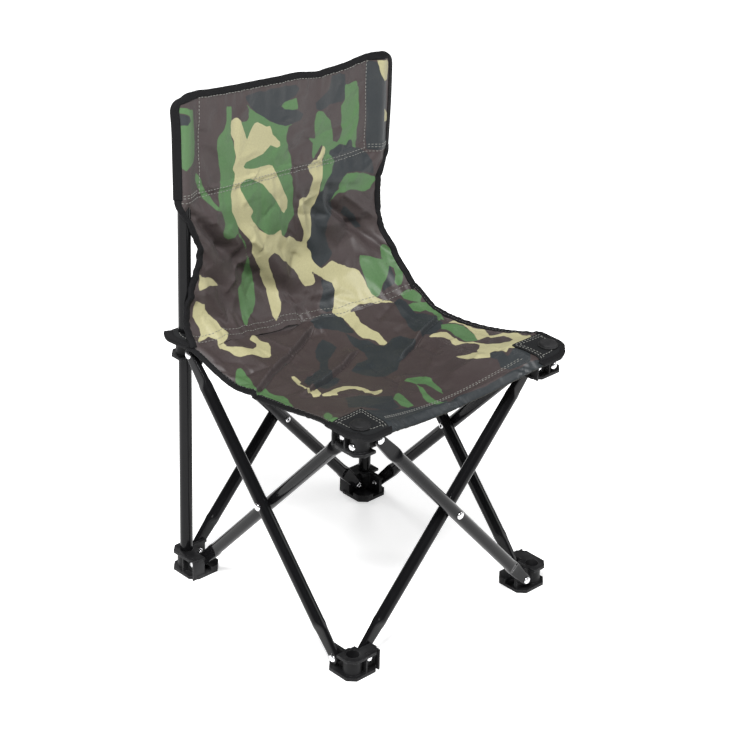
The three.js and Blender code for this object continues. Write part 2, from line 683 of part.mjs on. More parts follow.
// The front of the back cloth below its cross seam: c from -1 at the sitter's right to 1,
// share from 0 at the seam to 1 at the seat.
function backPoint(c, share) {
  const right = -BACK_HALF * fromTable(BACK_RIGHT_SHARES, share);
  const left = BACK_HALF * fromTable(BACK_LEFT_SHARES, share);
  const side = (c + 1) / 2;
  const foot = backFoot(c);
  const ease = fromTable(BACK_SWEEP_SHARES, share);
  const top = BACK_SEAM - GAP;
  const x = mix(right, left, side);
  const belly = BACK_BELLY * (1 - c * c) * Math.sin(2 * QUARTER * share);
  const level = Math.max(1 - (c / BACK_STEP_HALF_SHARE) ** 4, 0);
  const step = (BACK_PLANE - BACK_FRONT) * level * (1 - Math.min(share / BACK_STEP_SHARE, 1)) ** 2;
  let y = mix(BACK_FRONT, foot.y, ease) + belly + step;
  for (const fold of BACK_FOLD_SHARES) {
    const fade = Math.sin(2 * QUARTER * share) * (1 - c ** 4);
    y += fade * fold.depth * BACK_BELLY * ridge([c / 2, share], halved(fold), BACK_FOLD_WIDTH_SHARE);
  }
  return new THREE.Vector3(x, y, mix(top, foot.z, share));
}

function halved(fold) {
  return { from: [fold.from[0] / 2, fold.from[1]], to: [fold.to[0] / 2, fold.to[1]] };
}

// Where the back's lower edge lies on the seat.
function backFoot(c) {
  const side = (c + 1) / 2;
  const x = BACK_HALF * mix(-BACK_RIGHT_SHARES.at(-1), BACK_LEFT_SHARES.at(-1), side);
  const y = mix(BACK_SEAM_RIGHT_Y, BACK_SEAM_LEFT_Y, side);
  const seat = seatPoint(x / SEAT_HALF, y / SEAT_HALF);
  const overPatch = (PATCH_THICKNESS + GAP) * c * c;
  return { x, y, z: seat.z + CLOTH_THICKNESS / 2 + SEAM_CLEARANCE + overPatch };
}

function lowerBackGeometry() {
  const rows = gridRows(BACK_ROWS, BACK_COLUMNS, (c, share) => backPoint(-c, share));
  return toGeometry(toSolid(sheetGeometry(rows, CLOTH_THICKNESS)));
}

function upperBackGeometry() {
  const half = SLEEVE_INNER - GAP;
  const rows = gridRows(TOP_ROWS, BACK_COLUMNS, (c, share) =>
    new THREE.Vector3(-c * half, BACK_PLANE, mix(BACK_TOP, BACK_SEAM, share)),
  );
  return toGeometry(toSolid(sheetGeometry(rows, BACK_THICKNESS)));
}

// A sleeve's section round its post's axis: drawn tight over the tube and flat at both edges.
function sleeveSection() {
  const radius = TUBE_RADIUS + SLEEVE_GAP + SLEEVE_WALL;
  const half = BACK_THICKNESS / 2;
  const touch = (reach) => Math.atan2(half, reach) + Math.acos(radius / Math.hypot(reach, half));
  const outer = touch(SLEEVE_OUTER_REACH);
  const inner = 2 * QUARTER - touch(SLEEVE_INNER_REACH);
  const shape = new THREE.Shape();
  shape.moveTo(SLEEVE_OUTER_REACH, -half);
  shape.lineTo(SLEEVE_OUTER_REACH, half);
  shape.absarc(0, 0, radius, outer, inner);
  shape.lineTo(-SLEEVE_INNER_REACH, half);
  shape.lineTo(-SLEEVE_INNER_REACH, -half);
  shape.absarc(0, 0, radius, -inner, -outer);
  return shape;
}

function extruded(shape, depth) {
  return new THREE.ExtrudeGeometry(shape, { depth, bevelEnabled: false, curveSegments: 6 });
}

// A sleeve over the post at x = side * POST_PLACE, closed to a flat edge over the post's end.
function sleeveGeometry(side) {
  const radius = TUBE_RADIUS + SLEEVE_GAP + SLEEVE_WALL;
  const room = POST_TOP + PLUG_DOME + 2 * GAP;
  const wrap = extruded(sleeveSection(), SLEEVE_LENGTH).translate(POST_PLACE, POST_PLACE, BACK_SEAM);
  const edge = new THREE.Shape();
  edge.moveTo(SLEEVE_INNER - OVERRUN, BACK_SEAM - OVERRUN);
  edge.lineTo(BACK_HALF, BACK_SEAM - OVERRUN);
  edge.lineTo(BACK_HALF, BACK_TOP - BACK_CORNER_RADIUS);
  edge.absarc(BACK_HALF - BACK_CORNER_RADIUS, BACK_TOP - BACK_CORNER_RADIUS, BACK_CORNER_RADIUS, 0, QUARTER);
  edge.lineTo(SLEEVE_INNER - OVERRUN, BACK_TOP);
  const frontView = extruded(edge, 2 * radius + 2 * OVERRUN);
  frontView.rotateX(QUARTER).translate(0, POST_PLACE + radius + OVERRUN, 0);
  const profile = new THREE.Shape();
  profile.moveTo(-radius - OVERRUN, BACK_SEAM - OVERRUN);
  profile.lineTo(radius + OVERRUN, BACK_SEAM - OVERRUN);
  profile.lineTo(radius + OVERRUN, room + SLEEVE_WALL);
  profile.lineTo(BACK_THICKNESS / 2, BACK_TOP);
  profile.lineTo(-BACK_THICKNESS / 2, BACK_TOP);
  profile.lineTo(-radius - OVERRUN, room + SLEEVE_WALL);
  const sideView = extruded(profile, 2 * BACK_CORNER_RADIUS);
  sideView.rotateX(QUARTER).rotateZ(QUARTER).translate(SLEEVE_INNER - OVERRUN, POST_PLACE, 0);
  const bore = rodZ(TUBE_RADIUS + SLEEVE_GAP, POST_PLACE, POST_PLACE, BACK_SEAM - OVERRUN, room, 24);
  const closed = toSolid(wrap).intersect(toSolid(frontView)).intersect(toSolid(sideView));
  const sleeve = toGeometry(closed.subtract(bore));
  if (side > 0) return sleeve;
  return toGeometry(mirrored(sleeve));
}

function mirrored(geometry) {
  const copy = geometry.clone().applyMatrix4(new THREE.Matrix4().makeScale(-1, 1, 1));
  const index = copy.index.array;
  for (let i = 0; i < index.length; i += 3) [index[i + 1], index[i + 2]] = [index[i + 2], index[i + 1]];
  return toSolid(copy);
}

// Assembly

function mesh(name, geometry, finish) {
  const item = new THREE.Mesh(geometry, new THREE.MeshStandardMaterial(FINISH[finish]));
  item.name = name;
  return item;
}

function placed(item, x, y, z) {
  item.position.set(x, y, z);
  return item;
}

// A rivet through a side's tubes, its head outwards, at a height and a place along it.
function sideRivet(name, geometry, x, depth, z) {
  const item = placed(mesh(name, geometry, 'rivet'), x, -(HALF_PITCH + depth), z);
  item.rotation.x = QUARTER;
  return item;
}

function legs(side, leg) {
  const middle = PIVOT_HEIGHT + PIVOT_HALF_RISE;
  const outer = placed(
    mesh(`${side}_outer_leg`, leg, 'tube'), 0, -(HALF_PITCH + OUTER_LAYER), middle,
  );
  const inner = placed(
    mesh(`${side}_inner_leg`, leg, 'tube'), 0, -(HALF_PITCH + INNER_LAYER), middle,
  );
  outer.rotation.y = LEG_ANGLE;
  inner.rotation.y = -LEG_ANGLE;
  return [outer, inner];
}

function sideRivets(side) {
  const outerGrip = PRESSED_THICKNESS + LUG_THICKNESS + 3 * GAP;
  const innerGrip = WALL_FACE + CHANNEL_INNER + GAP;
  const crossGrip = 2 * TUBE_DIAMETER + LAYER_GAP + 2 * GAP;
  const outerFace = OUTER_LAYER + PRESSED_THICKNESS / 2 + GAP;
  const wallFace = WALL_FACE + GAP;
  const crossFace = OUTER_LAYER + TUBE_RADIUS + GAP;
  const span = PIVOT_HALF_SPAN;
  const rows = [
    ['outer_foot_rivet', outerGrip, span, outerFace, PIVOT_HEIGHT],
    ['outer_hub_rivet', outerGrip, -span, outerFace, UPPER_PIVOT_HEIGHT],
    ['inner_foot_rivet', innerGrip, -span, wallFace, PIVOT_HEIGHT],
    ['inner_hub_rivet', innerGrip, span, wallFace, UPPER_PIVOT_HEIGHT],
    ['cross_rivet', crossGrip, 0, crossFace, PIVOT_HEIGHT + PIVOT_HALF_RISE],
  ];
  return rows.map(([name, grip, x, depth, z]) =>
    sideRivet(`${side}_${name}`, rivetGeometry(grip), x, depth, z),
  );
}

function cornerMouldings(k, foot) {
  const items = [placed(mesh(`${CORNERS[k]}_foot`, foot, 'moulding'), -HALF_PITCH, -HALF_PITCH, 0)];
  const front = FRONT_CORNERS.includes(k);
  const name = front ? `${CORNERS[k]}_hub` : `${CORNERS[k]}_slider`;
  const hub = mesh(name, toGeometry(hubSolid(front)), 'moulding');
  items.push(placed(hub, -HALF_PITCH, -HALF_PITCH, HUB_TOP));
  return items;
}

function buttonPieces(k) {
  const button = mesh(`${CORNERS[k]}_button`, buttonGeometry(), 'button');
  placed(button, -POST_PLACE, -POST_PLACE, PATCH_TOP + GAP);
  const rivet = mesh(`${CORNERS[k]}_button_rivet`, pinGeometry(2 * COLUMN_RADIUS), 'rivet');
  const face = POST_PLACE + COLUMN_RADIUS + GAP;
  placed(rivet, -face, -POST_PLACE, HUB_TOP - BUTTON_RIVET_HEIGHT);
  rivet.rotation.y = -QUARTER;
  return [button, rivet];
}

function postPieces(k) {
  const post = placed(
    mesh(`${CORNERS[k]}_back_post`, postGeometry(), 'tube'), -POST_PLACE, -POST_PLACE, 0,
  );
  const plug = placed(
    mesh(`${CORNERS[k]}_post_plug`, plugGeometry(), 'moulding'), -POST_PLACE, -POST_PLACE, POST_TOP,
  );
  return [post, plug];
}

function sideGroup(k, leg, foot) {
  const group = new THREE.Group();
  const side = SIDES[k];
  group.add(...legs(side, leg), ...sideRivets(side), ...cornerMouldings(k, foot));
  if (FRONT_CORNERS.includes(k)) group.add(...buttonPieces(k));
  if (REAR_CORNERS.includes(k)) group.add(...postPieces(k));
  group.rotation.z = k * QUARTER;
  return group;
}

function clothGroup() {
  const group = new THREE.Group();
  SIDES.forEach((side, k) => {
    group.add(mesh(`${side}_seat_hem`, hemGeometry(k), 'cloth'));
    group.add(mesh(`${side}_seat_panel`, panelGeometry(k), 'cloth'));
    group.add(mesh(`${CORNERS[k]}_patch`, patchGeometry(k), 'trim'));
  });
  group.add(mesh('lower_back_cloth', lowerBackGeometry(), 'cloth'));
  group.add(mesh('upper_back_cloth', upperBackGeometry(), 'cloth'));
  group.add(mesh('left_back_sleeve', sleeveGeometry(1), 'cloth'));
  group.add(mesh('right_back_sleeve', sleeveGeometry(-1), 'cloth'));
  return group;
}

function chair() {
  const group = new THREE.Group();
  const leg = toGeometry(legSolid());
  const foot = toGeometry(footSolid());
  SIDES.forEach((side, k) => group.add(sideGroup(k, leg, foot)));
  group.add(clothGroup());
  return group;
}

export default chair();
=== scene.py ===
"""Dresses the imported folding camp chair: painted tubes, mouldings, rivets, printed cloth, tape and stitches."""
import json
import logging
import math
from contextlib import contextmanager
from dataclasses import dataclass, field
from enum import Enum
from typing import Callable, Iterable, Iterator, Sequence

import bmesh
import bpy
import numpy as np
from mathutils import Matrix, Vector


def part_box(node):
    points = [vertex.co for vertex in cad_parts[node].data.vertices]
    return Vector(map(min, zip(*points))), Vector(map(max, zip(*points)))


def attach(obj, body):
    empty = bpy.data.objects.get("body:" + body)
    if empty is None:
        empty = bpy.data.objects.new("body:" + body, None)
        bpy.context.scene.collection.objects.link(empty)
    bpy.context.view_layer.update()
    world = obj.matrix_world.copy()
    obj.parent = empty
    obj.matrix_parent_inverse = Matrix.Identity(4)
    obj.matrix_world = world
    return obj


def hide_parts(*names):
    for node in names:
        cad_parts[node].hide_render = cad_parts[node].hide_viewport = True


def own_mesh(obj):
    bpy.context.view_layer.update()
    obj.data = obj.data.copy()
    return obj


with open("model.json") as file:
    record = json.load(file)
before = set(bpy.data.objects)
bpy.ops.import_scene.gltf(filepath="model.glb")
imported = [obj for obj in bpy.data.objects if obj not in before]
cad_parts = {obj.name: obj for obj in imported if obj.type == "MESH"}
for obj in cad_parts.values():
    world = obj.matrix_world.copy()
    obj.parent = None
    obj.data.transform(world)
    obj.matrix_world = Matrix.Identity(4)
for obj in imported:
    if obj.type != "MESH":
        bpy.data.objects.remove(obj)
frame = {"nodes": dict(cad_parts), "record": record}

LOG = logging.getLogger("camp_chair")
MM = 0.001
FULL_TURN = 2 * math.pi
QUARTER_TURN = math.pi / 2
SAME_PLACE = 0.00001
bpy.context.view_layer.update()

Point = tuple[float, float, float]
Colour = tuple[float, float, float]
Table = tuple[tuple[float, ...], ...]
Array = np.ndarray
Socket = bpy.types.NodeSocket
Sockets = bpy.types.bpy_prop_collection
Value = Socket | float | tuple[float, ...]


class Side(Enum):
    """The four sides of the frame, counted by quarter turns from the front."""

    FRONT = 0
    LEFT = 1
    REAR = 2
    RIGHT = 3

    @property
    def word(self) -> str:
        """The side's name as the CAD nodes have it."""
        return self.name.lower()


class Corner(Enum):
    """The corner at the start of each side."""

    FRONT_RIGHT = 0
    FRONT_LEFT = 1
    REAR_LEFT = 2
    REAR_RIGHT = 3

    @property
    def word(self) -> str:
        """The corner's name as the CAD nodes have it."""
        return self.name.lower()

    @property
    def signs(self) -> tuple[int, int]:
        """The corner's signs along X and Y."""
        return 1 if "LEFT" in self.name else -1, 1 if "REAR" in self.name else -1

    @property
    def hub_node(self) -> str:
        """The node of the upper fitting at this corner."""
        return f"{self.word}_slider" if self in REAR_CORNERS else f"{self.word}_hub"


REAR_CORNERS = (Corner.REAR_LEFT, Corner.REAR_RIGHT)


def quarter_turned(points: Array, turns: int) -> Array:
    """Turns points about the upright axis.

    Args:
        points: An array whose last axis is x, y, z.
        turns: How many quarter turns, counter-clockwise from above.

    Returns:
        The turned points.
    """
    turned = np.array(points, float)
    for _ in range(turns % 4):
        turned = np.stack([-turned[..., 1], turned[..., 0], turned[..., 2]], axis=-1)
    return turned


def smooth_step(low: float, high: float, value: Array | float) -> Array | float:
    """Eases from 0 at low to 1 at high."""
    share = np.clip((np.asarray(value, float) - low) / (high - low), 0, 1)
    return share * share * (3 - 2 * share)


def unit(vectors: Array) -> Array:
    """Scales vectors to a length of one."""
    return vectors / np.linalg.norm(vectors, axis=-1, keepdims=True)


def run_length(path: Array) -> Array:
    """How far along a path each of its points lies."""
    return np.concatenate([[0], np.cumsum(np.linalg.norm(np.diff(path, axis=0), axis=-1))])


def share_grid(rows: int, columns: int, low: float = 0.0) -> list[Array]:
    """Two grids of shares from low to 1, the first along the rows and the second along the columns."""
    return np.meshgrid(np.linspace(low, 1, rows + 1), np.linspace(low, 1, columns + 1), indexing="ij")


# Sizes


@dataclass(frozen=True)
class FrameSizes:
    """The frame's driving sizes in metres, as the CAD model has them."""

    half_pitch: float = 0.1445
    pivot_inset: float = 0.0125
    pivot_height: float = 0.0165
    pivot_rise: float = 0.296
    inner_layer: float = 0.0005
    outer_layer: float = 0.0169
    tube_radius: float = 0.008
    socket_offset: float = 0.0085
    pressed_half: float = 0.004
    pressed_half_width: float = 0.0068
    shoulder_half_width: float = 0.0087
    pressed_length: float = 0.034
    press_blend: float = 0.014

    @property
    def half_span(self) -> float:
        """Half the distance between a tube's two pivots, along the side."""
        return self.half_pitch - self.pivot_inset

    @property
    def leg_half(self) -> float:
        """Half the distance between a tube's two pivots."""
        return math.hypot(self.half_span, self.pivot_rise / 2)

    @property
    def leg_angle(self) -> float:
        """A tube's slope."""
        return math.atan2(self.pivot_rise / 2, self.half_span)

    @property
    def middle_height(self) -> float:
        """The height of the crossings."""
        return self.pivot_height + self.pivot_rise / 2

    @property
    def post_place(self) -> float:
        """A post's axis, from the middle in X and in Y."""
        return self.half_pitch + self.socket_offset


@dataclass(frozen=True)
class ClothSizes:
    """The cloth's sizes in metres."""

    half: float = 0.174
    corner_radius: float = 0.024
    top: float = 0.3311
    thickness: float = 0.0018
    pull: float = 0.021
    flat_from: float = 0.118
    hinge_place: float = 0.1355
    sag_front: float = 0.022
    sag_rear: float = 0.025
    sag_left: float = 0.016
    sag_right: float = 0.032
    sag_middle: float = 0.038
    patch_size: float = 0.050
    back_half: float = 0.171
    sleeve_inner: float = 0.134
    back_front: float = 0.1416
    back_thickness: float = 0.003


SIZES = FrameSizes()
CLOTH = ClothSizes()


# Shader nodes


class NodeBuilder:
    """Adds nodes to one tree and links them by their sockets' names."""

    def __init__(self, tree: bpy.types.NodeTree) -> None:
        """Keeps the tree that the nodes go into."""
        self.tree = tree

    def add(self, kind: str, inputs: dict | None = None, **settings) -> bpy.types.Node:
        """Adds a node.

        Args:
            kind: The node's class name.
            inputs: A value or an output socket for each named or numbered input.
            **settings: The node's own properties.

        Returns:
            The new node.
        """
        node = self.tree.nodes.new(kind)
        for name, value in settings.items():
            setattr(node, name, value)
        for name, value in (inputs or {}).items():
            self.feed(node.inputs[name], value)
        return node

    def feed(self, socket: Socket, value: Value) -> None:
        """Links an output socket to an input, or sets the input to a plain value."""
        if isinstance(value, Socket):
            self.tree.links.new(value, socket)
        else:
            socket.default_value = value

    def math(self, operation: str, *values: Value, clamp: bool = False) -> Socket:
        """Adds a math node and returns its output."""
        inputs = dict(enumerate(values))
        return self.add("ShaderNodeMath", inputs, operation=operation, use_clamp=clamp).outputs[0]

    def vector(self, operation: str, inputs: dict) -> Socket:
        """Adds a vector math node and returns its vector."""
        return self.add("ShaderNodeVectorMath", inputs, operation=operation).outputs[0]

    def attribute(self, name: str, kind: str) -> Socket:
        """Reads a mesh attribute in a Geometry Nodes tree."""
        return self.add("GeometryNodeInputNamedAttribute", {"Name": name}, data_type=kind).outputs[0]

    def facing(self, attribute: str) -> Socket:
        """The rotation that turns Z to the direction in an attribute."""
        inputs = {"Vector": self.attribute(attribute, "FLOAT_VECTOR")}
        return self.add("FunctionNodeAlignRotationToVector", inputs, axis="Z").outputs[0]

    def ball(self, segments: int, rings: int, radius: Value, height: Value) -> Socket:
        """A sphere in a Geometry Nodes tree, drawn out along Z."""
        sphere = self.add("GeometryNodeMeshUVSphere", {"Segments": segments, "Rings": rings, "Radius": 1.0})
        size = self.add("ShaderNodeCombineXYZ", {"X": radius, "Y": radius, "Z": height}).outputs[0]
        return self.add("GeometryNodeTransform", {"Geometry": sphere.outputs["Mesh"], "Scale": size}).outputs[0]

    def mix(self, share: Value, low: Value, high: Value) -> Socket:
        """Mixes two colours by a share and returns the colour.

        Args:
            share: How much of the second colour.
            low: The first colour.
            high: The second colour.

        Returns:
            The mixed colour.
        """
        node = self.add("ShaderNodeMix", data_type="RGBA")
        for name, value in (("Factor_Float", share), ("A_Color", low), ("B_Color", high)):
            plain_colour = isinstance(value, tuple) and len(value) == 3
            socket = next(s for s in node.inputs if s.identifier == name)
            self.feed(socket, (*value, 1.0) if plain_colour else value)
        return next(s for s in node.outputs if s.identifier == "Result_Color")

    def ramp(self, value: Value, low: float, high: float) -> Socket:
        """Eases a value from 0 at low to 1 at high.

        Args:
            value: What is read.
            low: Where it starts.
            high: Where it ends.

        Returns:
            The eased share.
        """
        node = self.add(
            "ShaderNodeMapRange",
            {"Value": value, "From Min": low, "From Max": high, "To Min": 0.0, "To Max": 1.0},
            interpolation_type="SMOOTHSTEP",
        )
        return node.outputs[0]

    def noise(self, vector: Value, scale: float, detail: float = 3.0, roughness: float = 0.5) -> Socket:
        """Adds a noise texture and returns its value."""
        inputs = {"Vector": vector, "Scale": scale, "Detail": detail, "Roughness": roughness}
        return self.add("ShaderNodeTexNoise", inputs).outputs[0]


class ShaderGroup:
    """A shader effect that several materials share, built once under its name."""

    name = "effect"
    inputs: dict[str, tuple[str, float]] = {}
    outputs: dict[str, str] = {}

    @classmethod
    def tree(cls) -> bpy.types.NodeTree:
        """Returns the group's tree, and builds it the first time."""
        found = bpy.data.node_groups.get(cls.name)
        if found:
            return found
        tree = bpy.data.node_groups.new(cls.name, "ShaderNodeTree")
        for label, (kind, value) in cls.inputs.items():
            socket = tree.interface.new_socket(label, in_out="INPUT", socket_type=kind)
            if kind == "NodeSocketFloat":
                socket.default_value = value
        for label, kind in cls.outputs.items():
            tree.interface.new_socket(label, in_out="OUTPUT", socket_type=kind)
        nodes = NodeBuilder(tree)
        source = nodes.add("NodeGroupInput")
        sink = nodes.add("NodeGroupOutput")
        for label, socket in cls.build(nodes, source.outputs).items():
            tree.links.new(socket, sink.inputs[label])
        return tree

    @classmethod
    def build(cls, nodes: NodeBuilder, given: Sockets) -> dict[str, Socket]:
        """Builds the effect from its inputs and returns a socket for each output.

        Args:
            nodes: Adds the group's nodes.
            given: The group's inputs, by name.

        Returns:
            A socket for each of the group's outputs.
        """
        raise NotImplementedError

    @classmethod
    def place(cls, nodes: NodeBuilder, inputs: dict | None = None) -> bpy.types.Node:
        """Puts the group into a material with values of its own."""
        return nodes.add("ShaderNodeGroup", inputs, node_tree=cls.tree())


class EdgeWear(ShaderGroup):
    """A broken light line along convex edges."""

    name = "edge wear"
    inputs = {
        "Vector": ("NodeSocketVector", 0.0),
        "Width": ("NodeSocketFloat", 0.0008),
        "Amount": ("NodeSocketFloat", 0.6),
    }
    outputs = {"Mask": "NodeSocketFloat"}

    @classmethod
    def build(cls, nodes: NodeBuilder, given: Sockets) -> dict[str, Socket]:
        """Compares the rounded normal with the face's own, and breaks the line up with noise."""
        rounded = nodes.add("ShaderNodeBevel", {"Radius": given["Width"]}, samples=6).outputs[0]
        flat = nodes.add("ShaderNodeNewGeometry").outputs["Normal"]
        alike = nodes.add("ShaderNodeVectorMath", {0: rounded, 1: flat}, operation="DOT_PRODUCT").outputs["Value"]
        edge = nodes.math("MULTIPLY", nodes.math("SUBTRACT", 1.0, alike), 6.0, clamp=True)
        broken = nodes.ramp(nodes.noise(given["Vector"], 260.0, 4.0, 0.7), 0.38, 0.62)
        mask = nodes.math("MULTIPLY", nodes.math("MULTIPLY", edge, broken), given["Amount"], clamp=True)
        return {"Mask": mask}


class FineGrain(ShaderGroup):
    """The faint pebble of paint or moulded plastic, with a slow change in gloss."""

    name = "fine grain"
    inputs = {"Vector": ("NodeSocketVector", 0.0), "Size": ("NodeSocketFloat", 1.0)}
    outputs = {"Height": "NodeSocketFloat", "Patches": "NodeSocketFloat"}

    @classmethod
    def build(cls, nodes: NodeBuilder, given: Sockets) -> dict[str, Socket]:
        """Layers two noises."""
        scaled = nodes.vector("SCALE", {0: given["Vector"], 3: given["Size"]})
        height = nodes.noise(scaled, 1600.0, 2.0, 0.6)
        patches = nodes.noise(scaled, 28.0, 3.0, 0.5)
        return {"Height": height, "Patches": patches}


class PlainWeave(ShaderGroup):
    """Threads that cross over and under, on a flat map in metres."""

    name = "plain weave"
    inputs = {"Vector": ("NodeSocketVector", 0.0), "Pitch": ("NodeSocketFloat", 0.0005)}
    outputs = {"Height": "NodeSocketFloat", "Slub": "NodeSocketFloat"}

    @classmethod
    def build(cls, nodes: NodeBuilder, given: Sockets) -> dict[str, Socket]:
        """Two sets of round threads, each on top in every second cell."""
        axes = nodes.add("ShaderNodeSeparateXYZ", {0: given["Vector"]}).outputs
        across = nodes.math("DIVIDE", axes["X"], given["Pitch"])
        along = nodes.math("DIVIDE", axes["Y"], given["Pitch"])
        warp = nodes.math("ABSOLUTE", nodes.math("SINE", nodes.math("MULTIPLY", across, math.pi)))
        weft = nodes.math("ABSOLUTE", nodes.math("SINE", nodes.math("MULTIPLY", along, math.pi)))
        cell = nodes.math("ADD", nodes.math("FLOOR", across), nodes.math("FLOOR", along))
        over = nodes.math("ABSOLUTE", nodes.math("MODULO", cell, 2.0))
        up = nodes.math("MULTIPLY", warp, over)
        down = nodes.math("MULTIPLY", weft, nodes.math("SUBTRACT", 1.0, over))
        slub = nodes.noise(given["Vector"], 420.0, 2.0, 0.6)
        return {"Height": nodes.math("ADD", up, down), "Slub": slub}


class CamouflagePrint(ShaderGroup):
    """A common four-colour camouflage: each colour's attribute is its distance in, made ragged here."""

    name = "camouflage print"
    inputs = {
        "Vector": ("NodeSocketVector", 0.0),
        "Dark": ("NodeSocketFloat", 0.0),
        "Green": ("NodeSocketFloat", 0.0),
        "Khaki": ("NodeSocketFloat", 0.0),
    }
    outputs = {"Color": "NodeSocketColor", "Light": "NodeSocketFloat"}

    ground = (0.037, 0.027, 0.027)
    # The print's dark colour, which also paints the band of painted shade along the seat's front hem.
    dark = (0.017, 0.021, 0.024)
    green = (0.056, 0.122, 0.046)
    khaki = (0.315, 0.295, 0.165)

    @classmethod
    def build(cls, nodes: NodeBuilder, given: Sockets) -> dict[str, Socket]:
        """Lays dark, green and khaki over the ground, each with its own ragged edge."""
        colour: Value = cls.ground
        khaki_mask = None
        for number, (name, tone) in enumerate((("Dark", cls.dark), ("Green", cls.green), ("Khaki", cls.khaki))):
            shifted = nodes.vector("ADD", {0: given["Vector"], 1: (number * 3.1, number * 1.7, 0.0)})
            rag = nodes.math("MULTIPLY", nodes.math("SUBTRACT", nodes.noise(shifted, 70.0, 1.5, 0.5), 0.5), 0.0035)
            mask = nodes.ramp(nodes.math("ADD", given[name], rag), -0.0004, 0.0004)
            colour = nodes.mix(mask, colour, tone)
            khaki_mask = mask
        fade = nodes.ramp(nodes.noise(given["Vector"], 34.0, 4.0, 0.6), 0.3, 0.8)
        washed = nodes.mix(nodes.math("MULTIPLY", fade, 0.05), colour, (0.16, 0.15, 0.13))
        return {"Color": washed, "Light": khaki_mask}


# Finishes


@dataclass(frozen=True)
class Finish:
    """A finish: its material's name and the record's slot that it stands for."""

    name: str
    slot: str

    def material(self) -> bpy.types.Material:
        """Returns the finish's material, and builds it the first time."""
        found = bpy.data.materials.get(self.name)
        if found:
            return found
        material = bpy.data.materials.new(self.name)
        material.use_nodes = True
        material.node_tree.nodes.clear()
        nodes = NodeBuilder(material.node_tree)
        shader = nodes.add("ShaderNodeBsdfPrincipled")
        output = nodes.add("ShaderNodeOutputMaterial")
        material.node_tree.links.new(shader.outputs[0], output.inputs["Surface"])
        self.dress(nodes, shader)
        return material

    def dress(self, nodes: NodeBuilder, shader: bpy.types.Node) -> None:
        """Sets the shader's sockets and links what varies over the surface.

        Args:
            nodes: Adds the material's nodes.
            shader: The material's shader.
        """
        raise NotImplementedError

    @staticmethod
    def link(nodes: NodeBuilder, shader: bpy.types.Node, values: dict) -> None:
        """Sets or links several of the shader's inputs."""
        for name, value in values.items():
            nodes.feed(shader.inputs[name], value)

    @staticmethod
    def bump(nodes: NodeBuilder, height: Value, strength: float, depth: float) -> Socket:
        """Turns a height into a normal."""
        inputs = {"Strength": strength, "Distance": depth, "Height": height}
        return nodes.add("ShaderNodeBump", inputs).outputs[0]


@dataclass(frozen=True)
class GlossPaint(Finish):
    """Black stove paint on steel tube."""

    base: Colour = (0.005, 0.005, 0.0055)
    roughness: float = 0.13

    def dress(self, nodes: NodeBuilder, shader: bpy.types.Node) -> None:
        """Glossy paint with a faint orange peel and a little rub."""
        place = nodes.add("ShaderNodeTexCoord").outputs["Object"]
        grain = FineGrain.place(nodes, {"Vector": place, "Size": 0.5})
        rub = nodes.ramp(grain.outputs["Patches"], 0.55, 0.8)
        rough = nodes.math("ADD", self.roughness, nodes.math("MULTIPLY", rub, 0.1))
        colour = nodes.mix(nodes.math("MULTIPLY", rub, 0.12), self.base, (0.03, 0.03, 0.032))
        normal = self.bump(nodes, grain.outputs["Height"], 0.25, 0.00002)
        self.link(nodes, shader, {
            "Base Color": colour, "Roughness": rough, "Normal": normal,
            "Coat Weight": 0.05, "Coat Roughness": 0.08, "Specular IOR Level": 0.11,
        })


@dataclass(frozen=True)
class SatinPlastic(Finish):
    """Black moulded plastic with light worn edges."""

    base: Colour = (0.007, 0.007, 0.0075)
    roughness: float = 0.42
    wear: float = 0.55

    def dress(self, nodes: NodeBuilder, shader: bpy.types.Node) -> None:
        """Satin plastic with grain, paler scuffed edges and patches of rub."""
        place = nodes.add("ShaderNodeTexCoord").outputs["Object"]
        grain = FineGrain.place(nodes, {"Vector": place, "Size": 1.0})
        edge = EdgeWear.place(nodes, {"Vector": place, "Width": 0.0007, "Amount": self.wear}).outputs["Mask"]
        rough = nodes.math("ADD", self.roughness, nodes.math("MULTIPLY", grain.outputs["Patches"], 0.16))
        scuffed = nodes.mix(nodes.ramp(grain.outputs["Patches"], 0.45, 0.9), self.base, (0.03, 0.03, 0.031))
        colour = nodes.mix(edge, scuffed, (0.16, 0.16, 0.165))
        normal = self.bump(nodes, grain.outputs["Height"], 0.35, 0.00004)
        self.link(nodes, shader, {
            "Base Color": colour, "Roughness": rough, "Normal": normal, "Specular IOR Level": 0.13,
        })


@dataclass(frozen=True)
class BrightRivet(Finish):
    """Plated steel rivets."""

    def dress(self, nodes: NodeBuilder, shader: bpy.types.Node) -> None:
        """Bright metal, duller in faint patches."""
        place = nodes.add("ShaderNodeTexCoord").outputs["Object"]
        grain = FineGrain.place(nodes, {"Vector": place, "Size": 2.0})
        dull = nodes.ramp(grain.outputs["Patches"], 0.4, 0.75)
        colour = nodes.mix(nodes.math("MULTIPLY", dull, 0.4), (0.78, 0.78, 0.79), (0.45, 0.45, 0.46))
        rough = nodes.math("ADD", 0.2, nodes.math("MULTIPLY", dull, 0.18))
        self.link(nodes, shader, {"Base Color": colour, "Roughness": rough, "Metallic": 1.0})


